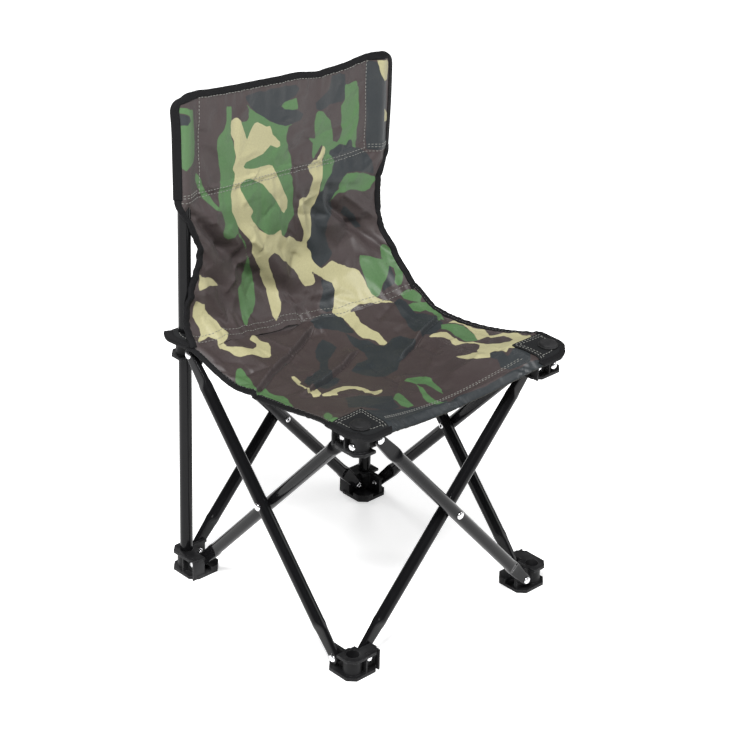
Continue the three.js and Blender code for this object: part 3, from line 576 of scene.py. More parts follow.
@dataclass(frozen=True)
class PrintedCloth(Finish):
    """Printed woven polyester with a soft sheen."""

    def dress(self, nodes: NodeBuilder, shader: bpy.types.Node) -> None:
        """The print over a fine weave."""
        chart = nodes.add("ShaderNodeUVMap", uv_map="cloth").outputs[0]
        layers = {
            name: nodes.add("ShaderNodeAttribute", attribute_name=name.lower()).outputs["Fac"]
            for name in ("Dark", "Green", "Khaki")
        }
        print_colour = CamouflagePrint.place(nodes, {"Vector": chart, **layers})
        weave = PlainWeave.place(nodes, {"Vector": chart, "Pitch": 0.0006})
        fleck = nodes.math("MULTIPLY", nodes.math("SUBTRACT", weave.outputs["Slub"], 0.5), 0.3)
        shade = nodes.math("ADD", 1.0, fleck)
        colour = nodes.vector("SCALE", {0: print_colour.outputs["Color"], 3: shade})
        rough = nodes.math("ADD", 0.44, nodes.math("MULTIPLY", weave.outputs["Slub"], 0.14))
        normal = self.bump(nodes, weave.outputs["Height"], 0.25, 0.00006)
        self.link(nodes, shader, {
            "Base Color": colour, "Roughness": rough, "Normal": normal,
            "Sheen Weight": 0.02, "Sheen Roughness": 0.45, "Specular IOR Level": 0.36,
        })


@dataclass(frozen=True)
class PlainCloth(Finish):
    """Black cloth: edge tape, corner patches and the coated reverse."""

    base: Colour = (0.012, 0.012, 0.013)
    roughness: float = 0.6
    pitch: float = 0.0008

    def dress(self, nodes: NodeBuilder, shader: bpy.types.Node) -> None:
        """A weave with dusty high threads."""
        chart = nodes.add("ShaderNodeUVMap", uv_map="cloth").outputs[0]
        weave = PlainWeave.place(nodes, {"Vector": chart, "Pitch": self.pitch})
        high = nodes.math("MULTIPLY", weave.outputs["Slub"], 0.35)
        colour = nodes.mix(high, self.base, tuple(2.6 * c + 0.004 for c in self.base))
        normal = self.bump(nodes, weave.outputs["Height"], 0.4, 0.0001)
        rough = nodes.math("ADD", self.roughness, nodes.math("MULTIPLY", weave.outputs["Slub"], 0.15))
        self.link(nodes, shader, {
            "Base Color": colour, "Roughness": rough, "Normal": normal,
            "Sheen Weight": 0.01, "Sheen Roughness": 0.5, "Specular IOR Level": 0.07,
        })


@dataclass(frozen=True)
class Thread(Finish):
    """Pale sewing thread."""

    base: Colour = (0.20, 0.20, 0.18)

    def dress(self, nodes: NodeBuilder, shader: bpy.types.Node) -> None:
        """Twisted fibres, lighter and darker along the stitch."""
        place = nodes.add("ShaderNodeTexCoord").outputs["Object"]
        twist = nodes.noise(place, 900.0, 2.0, 0.6)
        colour = nodes.mix(twist, tuple(0.6 * c for c in self.base), self.base)
        self.link(nodes, shader, {"Base Color": colour, "Roughness": 0.8, "Sheen Weight": 0.3})


@dataclass(frozen=True)
class StudioFloor(Finish):
    """The pale studio floor."""

    def dress(self, nodes: NodeBuilder, shader: bpy.types.Node) -> None:
        """Matt near-white."""
        self.link(nodes, shader, {
            "Base Color": (0.93, 0.93, 0.93, 1.0), "Roughness": 0.9, "Specular IOR Level": 0.1,
            "Emission Color": (1.0, 1.0, 1.0, 1.0), "Emission Strength": 0.45,
        })


TUBE_PAINT = GlossPaint("black tube paint", "black_tube")
MOULDING = SatinPlastic("black moulding", "black_moulding")
PLUG = SatinPlastic("black plug", "black_plug", roughness=0.5, wear=0.2)
BUTTON = SatinPlastic("black button", "black_button", roughness=0.5, wear=0.2)
RIVET = BrightRivet("bright rivet", "bright_rivet")
PRINTED = PrintedCloth("camouflage cloth", "camouflage_cloth")
REVERSE = PlainCloth("coated reverse", "camouflage_cloth", base=(0.03, 0.03, 0.028), roughness=0.55)
TAPE = PlainCloth("edge tape", "corner_patch", base=(0.006, 0.006, 0.0065), pitch=0.0011)
PATCH = PlainCloth("corner patch cloth", "corner_patch", base=(0.009, 0.0095, 0.010), pitch=0.0007)
THREAD = Thread("sewing thread", "camouflage_cloth")
TAPE_THREAD = Thread("tape thread", "corner_patch", base=(0.02, 0.02, 0.02))
FLOOR = StudioFloor("studio floor", "")


# Meshes


def mesh_object(
    name: str,
    points: Array,
    faces: Sequence[Sequence[int]],
    finishes: Sequence[Finish],
    uv: Array | None = None,
    face_finish: Sequence[int] | None = None,
    layers: dict[str, Array] | None = None,
    normals: Array | None = None,
) -> bpy.types.Object:
    """Makes a smooth-shaded mesh object at the origin.

    Args:
        name: The object's name.
        points: The vertices, in metres.
        faces: Vertex numbers of each face, counter-clockwise from outside.
        finishes: The finishes of its material slots.
        uv: A chart place for each vertex.
        face_finish: Which finish each face has.
        layers: A value for each vertex, by attribute name.
        normals: A shading normal for each vertex.

    Returns:
        The object.
    """
    mesh = bpy.data.meshes.new(name)
    mesh.from_pydata([tuple(p) for p in np.asarray(points, float)], [], [tuple(f) for f in faces])
    mesh.polygons.foreach_set("use_smooth", [True] * len(mesh.polygons))
    for finish in finishes:
        mesh.materials.append(finish.material())
    if face_finish is not None:
        mesh.polygons.foreach_set("material_index", list(face_finish))
    if uv is not None:
        chart = mesh.uv_layers.new(name="cloth")
        corners = np.zeros(len(mesh.loops), int)
        mesh.loops.foreach_get("vertex_index", corners)
        chart.data.foreach_set("uv", np.asarray(uv, float)[corners].ravel())
    for label, values in (layers or {}).items():
        mesh.attributes.new(label, "FLOAT", "POINT").data.foreach_set("value", np.asarray(values, np.float32))
    mesh.update()
    if normals is not None:
        mesh.normals_split_custom_set_from_vertices([tuple(n) for n in normals])
    item = bpy.data.objects.new(name, mesh)
    bpy.context.scene.collection.objects.link(item)
    return item


def tube_faces(rings: int, around: int, closed: bool = False, caps: bool = True) -> list[tuple[int, ...]]:
    """Faces of a skin through rings of points.

    Args:
        rings: How many rings there are.
        around: Points in each ring.
        closed: Whether the last ring joins the first.
        caps: Whether the ends get a face each.

    Returns:
        The faces, pointing outwards where the rings run counter-clockwise along the path.
    """
    faces = []
    for r in range(rings if closed else rings - 1):
        for i in range(around):
            a, b = r * around + i, r * around + (i + 1) % around
            c = ((r + 1) % rings) * around
            faces.append((a, b, c + (i + 1) % around, c + i))
    if caps and not closed:
        faces.append(tuple(range(around))[::-1])
        faces.append(tuple((rings - 1) * around + i for i in range(around)))
    return faces


@contextmanager
def editing(mesh: bpy.types.Mesh) -> Iterator[bmesh.types.BMesh]:
    """Opens a mesh for editing and writes it back at the end.

    Args:
        mesh: The mesh.

    Returns:
        The open mesh.
    """
    work = bmesh.new()
    work.from_mesh(mesh)
    yield work
    work.to_mesh(mesh)
    work.free()


def fix_normals(item: bpy.types.Object) -> bpy.types.Object:
    """Makes a closed mesh's faces point outwards."""
    with editing(item.data) as work:
        bmesh.ops.recalc_face_normals(work, faces=work.faces)
    return item


def merge_close(item: bpy.types.Object) -> bpy.types.Object:
    """Joins vertices that lie together."""
    with editing(item.data) as work:
        bmesh.ops.remove_doubles(work, verts=work.verts, dist=SAME_PLACE)
    return item


def plain_mesh(item: bpy.types.Object) -> bpy.types.Object:
    """Turns an object's evaluated result into its own mesh and removes its modifiers.

    Args:
        item: The object.

    Returns:
        The same object.
    """
    evaluated = item.evaluated_get(bpy.context.evaluated_depsgraph_get())
    mesh = bpy.data.meshes.new_from_object(evaluated)
    item.modifiers.clear()
    item.data = mesh
    return item


def sharpen(item: bpy.types.Object, degrees: float) -> bpy.types.Object:
    """Shades flat across edges that are sharper than an angle."""
    with editing(item.data) as work:
        for edge in work.edges:
            edge.smooth = not (len(edge.link_faces) == 2 and edge.calc_face_angle(0.0) > math.radians(degrees))
    return item


def stands_for(item: bpy.types.Object, body: str, finish: Finish, *nodes: str) -> bpy.types.Object:
    """Rides a finished piece on its body, and lets it replace CAD nodes.

    Args:
        item: The finished piece.
        body: The body that carries it.
        finish: Not used.
        *nodes: The nodes that it stands for.

    Returns:
        The piece.
    """
    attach(item, body)
    if nodes:
        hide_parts(*nodes)
    LOG.info("%s rides on %s", item.name, body)
    return item


# Frame


@dataclass
class LegTubes:
    """The eight crossed tubes, round in the middle and pressed flat at their pivots."""

    sizes: FrameSizes = SIZES
    around: int = 40
    blend_steps: int = 9
    tip_steps: int = 8
    flatness: float = 5.0
    sharp_over: float = 50

    def section(self, place: float) -> tuple[float, float, float]:
        """Half width, half thickness and roundness at a distance from the tube's middle.

        Args:
            place: A distance along the tube from its middle, in metres.

        Returns:
            The half width, the half thickness and the power of the rounded section.
        """
        s = self.sizes
        inward = s.leg_half - abs(place)
        flat = 1 - float(smooth_step(s.pressed_length, s.pressed_length + s.press_blend, inward))
        taper = float(np.clip(inward / s.pressed_length, 0, 1))
        width = s.pressed_half_width + (s.shoulder_half_width - s.pressed_half_width) * taper
        if inward < 0:
            width = math.sqrt(max(s.pressed_half_width**2 - inward**2, 1e-9))
        half_width = s.tube_radius + (width - s.tube_radius) * flat
        half_thick = s.tube_radius + (s.pressed_half - s.tube_radius) * flat
        return half_width, half_thick, 2 + (self.flatness - 2) * flat

    def places(self) -> list[float]:
        """Where the rings stand, from the middle to one tip."""
        s = self.sizes
        blend_end = s.leg_half - s.pressed_length
        blend_start = blend_end - s.press_blend
        blend = np.linspace(blend_start, blend_end, self.blend_steps)
        flat = np.linspace(blend_end, s.leg_half, 4)[1:]
        tip = s.leg_half + s.pressed_half_width * np.sin(np.linspace(0, QUARTER_TURN * 0.99, self.tip_steps))[1:]
        return [*blend, *flat, *tip]

    def ring(self, place: float) -> Array:
        """The section's points in the tube's own frame.

        Args:
            place: The distance from the tube's middle, in metres.

        Returns:
            The ring's points.
        """
        half_width, half_thick, power = self.section(place)
        turn = (np.arange(self.around) + 0.5) / self.around * FULL_TURN
        c, s = np.cos(turn), np.sin(turn)
        y = half_thick * np.sign(c) * np.abs(c) ** (2 / power)
        z = half_width * np.sign(s) * np.abs(s) ** (2 / power)
        return np.stack([np.full_like(y, place), y, z], axis=-1)

    def build(self, side: Side, outer: bool) -> bpy.types.Object:
        """Makes one tube in its place.

        Args:
            side: The side of the frame.
            outer: Whether it is the tube of the outer layer.

        Returns:
            The finished tube.
        """
        s = self.sizes
        half = self.places()
        places = [-p for p in reversed(half)] + half
        points = np.concatenate([self.ring(p) for p in places])
        angle = s.leg_angle if outer else -s.leg_angle
        turned = points @ np.array(Matrix.Rotation(angle, 3, "Y")).T
        depth = s.outer_layer if outer else s.inner_layer
        turned = turned + np.array([0, -(s.half_pitch + depth), s.middle_height])
        name = f"{side.word}_{'outer' if outer else 'inner'}"
        faces = tube_faces(len(places), self.around)
        item = mesh_object(f"{name}_tube", quarter_turned(turned, side.value), faces, [TUBE_PAINT])
        sharpen(item, self.sharp_over)
        return stands_for(item, f"{name}_leg", TUBE_PAINT, f"{name}_leg")

    def dress(self) -> None:
        """Makes all eight."""
        for side in Side:
            for outer in (True, False):
                self.build(side, outer)


@dataclass
class BackPosts:
    """The two back posts and their plugs."""

    sizes: FrameSizes = SIZES
    around: int = 48
    foot: float = 0.0043
    rounding: float = 0.0004
    end_share: float = 0.96
    sharp_over: float = 30

    def dress(self) -> None:
        """Makes both posts and paints the plugs."""
        place = self.sizes.post_place
        for corner in REAR_CORNERS:
            x = place * corner.signs[0]
            turn = np.arange(self.around) / self.around * FULL_TURN
            ring = np.stack([np.cos(turn), np.sin(turn)], axis=-1) * self.sizes.tube_radius
            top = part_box(f"{corner.word}_back_post")[1].z
            levels = (
                (self.foot, self.end_share), (self.foot + self.rounding, 1), (top - self.rounding, 1),
                (top, self.end_share),
            )
            points = [(x + px * share, place + py * share, z) for z, share in levels for px, py in ring]
            item = mesh_object(
                f"{corner.word}_post", np.array(points), tube_faces(len(levels), self.around), [TUBE_PAINT]
            )
            sharpen(item, self.sharp_over)
            stands_for(item, f"{corner.word}_foot", TUBE_PAINT, f"{corner.word}_back_post")
            paint_node(f"{corner.word}_post_plug", PLUG)


def paint_node(node: str, finish: Finish) -> None:
    """Gives a CAD node a finish."""
    mesh = frame["nodes"][node].data
    mesh.materials.clear()
    mesh.materials.append(finish.material())


@dataclass
class Mouldings:
    """Feet and hubs: each a softened copy of its CAD node."""

    bevel: float = 0.0005
    bevel_segments: int = 2
    bevel_over: float = 35
    flat_under: float = 1.0
    sharp_over: float = 32

    def soften(self, node: str, name: str, body: str) -> bpy.types.Object:
        """Copies a node, joins its loose triangles and rounds its edges.

        Args:
            node: The CAD node.
            name: The new piece's name.
            body: The body that carries it.

        Returns:
            The finished piece.
        """
        mesh = frame["nodes"][node].data.copy()
        item = bpy.data.objects.new(name, mesh)
        bpy.context.scene.collection.objects.link(item)
        with editing(mesh) as work:
            bmesh.ops.remove_doubles(work, verts=work.verts, dist=SAME_PLACE)
            limit = math.radians(self.flat_under)
            bmesh.ops.dissolve_limit(
                work, angle_limit=limit, verts=work.verts, edges=work.edges, use_dissolve_boundaries=False
            )
            for face in work.faces:
                face.smooth = True
        mesh.materials.clear()
        mesh.materials.append(MOULDING.material())
        bevel = item.modifiers.new("rounded edges", "BEVEL")
        bevel.width = self.bevel
        bevel.segments = self.bevel_segments
        bevel.limit_method = "ANGLE"
        bevel.angle_limit = math.radians(self.bevel_over)
        bevel.harden_normals = False
        bevel.use_clamp_overlap = True
        plain_mesh(item)
        sharpen(item, self.sharp_over)
        return stands_for(item, body, MOULDING, node)

    def dress(self) -> None:
        """Makes all eight."""
        for corner in Corner:
            self.soften(f"{corner.word}_foot", f"{corner.word}_foot_moulding", f"{corner.word}_foot")
            self.soften(corner.hub_node, f"{corner.word}_hub_moulding", f"{corner.word}_hub")


@dataclass
class Rivets:
    """Semi-tubular rivets: a domed head on one side and a rolled hollow tail on the other."""

    head_radius: float = 0.0049
    head_height: float = 0.0023
    tail_radius: float = 0.0037
    tail_wire: float = 0.0011

    @staticmethod
    def lay(nodes: NodeBuilder, given: Sockets) -> Socket:
        """Stands a head or a tail at each point, along its axis attribute."""
        head = nodes.ball(28, 14, given["Head radius"], given["Head height"])
        rim = nodes.add("ShaderNodeMath", {0: given["Tail radius"], 1: given["Tail wire"]}, operation="SUBTRACT")
        path = nodes.add("GeometryNodeCurvePrimitiveCircle", {"Resolution": 28, "Radius": rim.outputs[0]}).outputs[0]
        wire = nodes.add(
            "GeometryNodeCurvePrimitiveCircle", {"Resolution": 10, "Radius": given["Tail wire"]}
        ).outputs[0]
        tail = nodes.add("GeometryNodeCurveToMesh", {"Curve": path, "Profile Curve": wire}).outputs[0]
        turn = nodes.facing("axis")
        is_tail = nodes.attribute("tail", "BOOLEAN")
        is_head = nodes.add("FunctionNodeBooleanMath", {0: is_tail}, operation="NOT").outputs[0]
        placed = [
            nodes.add(
                "GeometryNodeInstanceOnPoints",
                {"Points": given["Geometry"], "Selection": chosen, "Instance": shape, "Rotation": turn},
            ).outputs[0]
            for chosen, shape in ((is_head, head), (is_tail, tail))
        ]
        join = nodes.add("GeometryNodeJoinGeometry")
        for geometry in placed:
            nodes.tree.links.new(geometry, join.inputs[0])
        return join.outputs[0]

    def build(self, body: str, nodes: Sequence[str]) -> bpy.types.Object:
        """Makes one body's rivets, each where its CAD node is.

        Args:
            body: The body that carries them.
            nodes: Their CAD nodes.

        Returns:
            The finished piece.
        """
        points, axes, tails = [], [], []
        for node in nodes:
            low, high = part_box(node)
            centre, size = (low + high) / 2, high - low
            by_size = 0 if size.x > size.y and abs(size.x - size.z) > 0.001 else 1
            by_name = {"left": 0, "right": 0, "front": 1, "rear": 1}.get(node.split("_")[0], by_size)
            across = by_size if "button" in node else by_name
            outward = 1.0 if centre[across] > 0 else -1.0
            axis = [0.0, 0.0, 0.0]
            axis[across] = outward
            far, near = (high, low) if outward > 0 else (low, high)
            ends = [(far[across] - outward * self.head_height, False)]
            if "button" not in node:
                ends.append((near[across] + outward * self.tail_wire, True))
            for level, is_tail in ends:
                place = list(centre)
                place[across] = level
                points.append(place)
                axes.append(axis)
                tails.append(is_tail)
        item = mesh_object(f"{body}_rivets", np.array(points), [], [RIVET])
        item.data.attributes.new("axis", "FLOAT_VECTOR", "POINT").data.foreach_set("vector", np.ravel(axes))
        item.data.attributes.new("tail", "BOOLEAN", "POINT").data.foreach_set("value", tails)
        sizes = {
            "Head radius": self.head_radius, "Head height": self.head_height,
            "Tail radius": self.tail_radius, "Tail wire": self.tail_wire,
        }
        tree = geometry_tree("rivet ends", list(sizes), self.lay)
        run_tree(item, tree, {**sizes, "Finish": RIVET.material()})
        return stands_for(item, body, RIVET, *nodes)

    def dress(self) -> None:
        """Makes the rivets of every body that has some."""
        for body, members in sorted(frame["record"]["behaviour"]["bodies"].items()):
            found = sorted(n for n in members if n.endswith("_rivet"))
            if found:
                self.build(body, found)


def geometry_tree(name: str, sizes: Sequence[str], lay: Callable) -> bpy.types.NodeTree:
    """A Geometry Nodes tree that lays shapes on a mesh's points and gives them a finish, built once.

    Args:
        name: The tree's name.
        sizes: The names of the sizes that go in, beside the mesh and the finish.
        lay: Lays the shapes, from a node builder and the tree's inputs.

    Returns:
        The tree.
    """
    found = bpy.data.node_groups.get(name)
    if found:
        return found
    tree = bpy.data.node_groups.new(name, "GeometryNodeTree")
    kinds = {"Geometry": "NodeSocketGeometry", **dict.fromkeys(sizes, "NodeSocketFloat")}
    kinds["Finish"] = "NodeSocketMaterial"
    for label, kind in kinds.items():
        tree.interface.new_socket(label, in_out="INPUT", socket_type=kind)
    tree.interface.new_socket("Geometry", in_out="OUTPUT", socket_type="NodeSocketGeometry")
    nodes = NodeBuilder(tree)
    given = nodes.add("NodeGroupInput").outputs
    solid = nodes.add("GeometryNodeRealizeInstances", {"Geometry": lay(nodes, given)}).outputs[0]
    smooth = nodes.add("GeometryNodeSetShadeSmooth", {"Geometry": solid}).outputs[0]
    dressed = nodes.add("GeometryNodeSetMaterial", {"Geometry": smooth, "Material": given["Finish"]}).outputs[0]
    tree.links.new(dressed, nodes.add("NodeGroupOutput").inputs[0])
    return tree


def run_tree(item: bpy.types.Object, tree: bpy.types.NodeTree, values: dict) -> bpy.types.Object:
    """Runs a Geometry Nodes tree on an object and keeps the plain result.

    Args:
        item: The object.
        tree: The tree.
        values: A value for each of the tree's named inputs.

    Returns:
        The object, with the result as its mesh and no modifier.
    """
    modifier = item.modifiers.new(tree.name, "NODES")
    modifier.node_group = tree
    sockets = {s.name: s.identifier for s in tree.interface.items_tree if s.in_out == "INPUT"}
    for label, value in values.items():
        modifier[sockets[label]] = value
    return plain_mesh(item)


# Cloth


@dataclass
class SheetGrid:
    """A smooth surface held as a grid of points over a square of shares from 0 to 1."""

    points: Array

    def normals(self) -> Array:
        """The surface's normal at each grid point."""
        du = np.gradient(self.points, axis=0)
        dv = np.gradient(self.points, axis=1)
        return unit(np.cross(du, dv))

    @staticmethod
    def sample_of(values: Array, u: Array, v: Array) -> Array:
        """Reads a grid of values between its points.

        Args:
            values: The grid.
            u: Shares along the first axis.
            v: Shares along the second axis.

        Returns:
            The values there, by cubic steps.
        """
        nu, nv = values.shape[0] - 1, values.shape[1] - 1
        fu, fv = np.clip(u, 0, 1) * nu, np.clip(v, 0, 1) * nv
        iu, iv = np.minimum(fu.astype(int), nu - 1), np.minimum(fv.astype(int), nv - 1)
        tu, tv = (fu - iu)[..., None], (fv - iv)[..., None]

        def weights(t: Array) -> list[Array]:
            """Cubic weights of the four neighbours."""
            return [
                -0.5 * t + t**2 - 0.5 * t**3, 1 - 2.5 * t**2 + 1.5 * t**3,
                0.5 * t + 2 * t**2 - 1.5 * t**3, -0.5 * t**2 + 0.5 * t**3,
            ]

        total = 0
        for a, wu in enumerate(weights(tu)):
            for b, wv in enumerate(weights(tv)):
                total = total + wu * wv * values[np.clip(iu + a - 1, 0, nu), np.clip(iv + b - 1, 0, nv)]
        return total

    def at(self, u: Array, v: Array) -> Array:
        """The surface's points at shares u and v."""
        return self.sample_of(self.points, u, v)

    def normal_at(self, u: Array, v: Array) -> Array:
        """The surface's normals at shares u and v."""
        return unit(self.sample_of(self.normals(), u, v))


def rounded_share(c: Array) -> Array:
    """How far the seat's rounded corner draws in the outline at c, the share of the way to the diagonal.

    Args:
        c: Shares along a side, from -1 to 1.

    Returns:
        The share of the way out at which the outline lies.
    """
    radius = CLOTH.corner_radius / CLOTH.half
    q = 1 - radius
    c = np.clip(np.abs(c), 0, 1)
    inside = np.maximum(q**2 * (1 + c) ** 2 - (1 + c**2) * (2 * q**2 - radius**2), 0)
    reach = (q * (1 + c) + np.sqrt(inside)) / (1 + c**2)
    return np.where(c > q, np.minimum(reach, 1), 1)


def crease(
    x: Array, y: Array, start: tuple[float, float], end: tuple[float, float], width: float
) -> tuple[Array, Array]:
    """How close places are to a crease line.

    Args:
        x: Places along X, in metres.
        y: Places along Y, in metres.
        start: The line's start.
        end: The line's end.
        width: The crease's reach to each side.

    Returns:
        The signed distance over the width, and a share that fades in and out along the line.
    """
    dx, dy = end[0] - start[0], end[1] - start[1]
    length = math.hypot(dx, dy)
    along = ((x - start[0]) * dx + (y - start[1]) * dy) / length**2
    off = ((x - start[0]) * dy - (y - start[1]) * dx) / length
    fade = smooth_step(-0.06, 0.14, along) * (1 - smooth_step(0.86, 1.08, along))
    return off / width, fade


@dataclass(frozen=True)
class Crumples:
    """The small sharp creases of a light cloth that is packed away in a bundle, within a box of places."""

    box: tuple[float, float, float, float]
    count: int
    seed: int
    height: float
    length: tuple[float, float] = (0.02, 0.07)
    width: tuple[float, float] = (0.004, 0.011)

    def at(self, x: Array, y: Array) -> Array:
        """How far the cloth stands up at each place.

        Args:
            x: Places along the box's first axis, in metres.
            y: Places along its second axis.

        Returns:
            The heights, in metres.
        """
        random = np.random.default_rng(self.seed)
        total = np.zeros_like(x)
        for _ in range(self.count):
            start = random.uniform(self.box[:2], self.box[2:])
            turn, length = random.uniform(0, math.pi), random.uniform(*self.length)
            end = start + length * np.array([math.cos(turn), math.sin(turn)])
            off, fade = crease(x, y, tuple(start), tuple(end), random.uniform(*self.width))
            total += self.height * random.uniform(-1, 1) * np.exp(-(np.abs(off) ** 1.4)) * fade
        return total


@dataclass(frozen=True)
class Gathers:
    """An uneven ripple along a seam, which fades away from it."""

    height: float
    reach: float
    pitch: float
    phase: float

    def at(self, along: Array, away: Array, *shares: Array) -> Array:
        """How far the cloth stands up at each place.

        Args:
            along: Places along the seam, in metres.
            away: Distances from the seam, as shares of the cloth.
            *shares: Shares that hold the ripple to its part of the cloth.

        Returns:
            The heights.
        """
        height = self.height * np.exp(-away / self.reach)
        for share in shares:
            height = height * share
        turn, phase = FULL_TURN * along / self.pitch, self.phase
        second, third = np.sin(1.73 * turn + 2.1 * phase), np.sin(2.91 * turn + 0.7 * phase)
        return height * ((np.sin(turn + phase) + 0.6 * second + 0.4 * third) / 2)


@dataclass
class ClothRelaxer:
    """Settles a sheet with Blender's cloth: it is a little too large for its pins, so it buckles into wrinkles."""

    steps: int = 90
    frames: int = 16
    quality: int = 6
    excess: float = 0.010
    bending: float = 3.0
    gravity: float = 0.1
    mass: float = 0.2
    air_damping: float = 6.0
    stiffness: float = 15.0
    shear: float = 6.0

    def settle(self, sheet: SheetGrid, pinned: Callable, cap: Callable) -> SheetGrid:
        """Runs the simulation on a coarse copy and carries the movement back.

        Args:
            sheet: The surface.
            pinned: How firmly a place is held, from 0 to 1, by its shares.
            cap: How far a place may move, in metres, by its shares.

        Returns:
            The settled surface.
        """
        n = self.steps + 1
        u, v = share_grid(self.steps, self.steps)
        base = sheet.at(u, v)
        faces = [(i * n + j, (i + 1) * n + j, (i + 1) * n + j + 1, i * n + j + 1)
                 for i in range(n - 1) for j in range(n - 1)]
        mesh = bpy.data.meshes.new("relaxing sheet")
        mesh.from_pydata(base.reshape(-1, 3).tolist(), [], faces)
        item = bpy.data.objects.new("relaxing_sheet", mesh)
        bpy.context.scene.collection.objects.link(item)
        group = item.vertex_groups.new(name="held")
        for number, weight in enumerate(pinned(u, v).ravel()):
            if weight > 0:
                group.add([number], float(weight), "REPLACE")
        self.set_up(item.modifiers.new("cloth", "CLOTH"))
        scene = bpy.context.scene
        for frame_number in range(1, self.frames + 1):
            scene.frame_set(frame_number)
        evaluated = item.evaluated_get(bpy.context.evaluated_depsgraph_get())
        found = np.zeros(n * n * 3)
        evaluated.data.vertices.foreach_get("co", found)
        scene.frame_set(1)
        bpy.data.objects.remove(item)
        moved = found.reshape(n, n, 3) - base
        distance = np.linalg.norm(moved, axis=-1, keepdims=True)
        LOG.info("cloth moved up to %.1f mm", 1000 * distance.max())
        limit = cap(u, v)[..., None]
        moved = moved * limit * np.tanh(distance / limit) / np.maximum(distance, 1e-9)
        count_u, count_v = sheet.points.shape[:2]
        fine_u, fine_v = share_grid(count_u - 1, count_v - 1)
        return SheetGrid(sheet.points + SheetGrid.sample_of(moved, fine_u, fine_v))

    def set_up(self, modifier: bpy.types.ClothModifier) -> None:
        """Sets the cloth's stiffness and how it is held.

        Args:
            modifier: The cloth modifier.
        """
        settings = modifier.settings
        settings.quality = self.quality
        settings.mass = self.mass
        settings.air_damping = self.air_damping
        settings.tension_stiffness = settings.compression_stiffness = self.stiffness
        settings.shear_stiffness = self.shear
        settings.bending_stiffness = self.bending
        settings.vertex_group_mass = "held"
        settings.shrink_min = -self.excess
        settings.effector_weights.gravity = self.gravity
        modifier.collision_settings.use_collision = False
        modifier.point_cache.frame_start = 1
        modifier.point_cache.frame_end = self.frames


def room_in(share: Array) -> Array:
    """How free the seat's cloth is across: 1 in the middle and 0 at the bound edges."""
    return 1 - smooth_step(0.80, 0.97, np.abs(share))


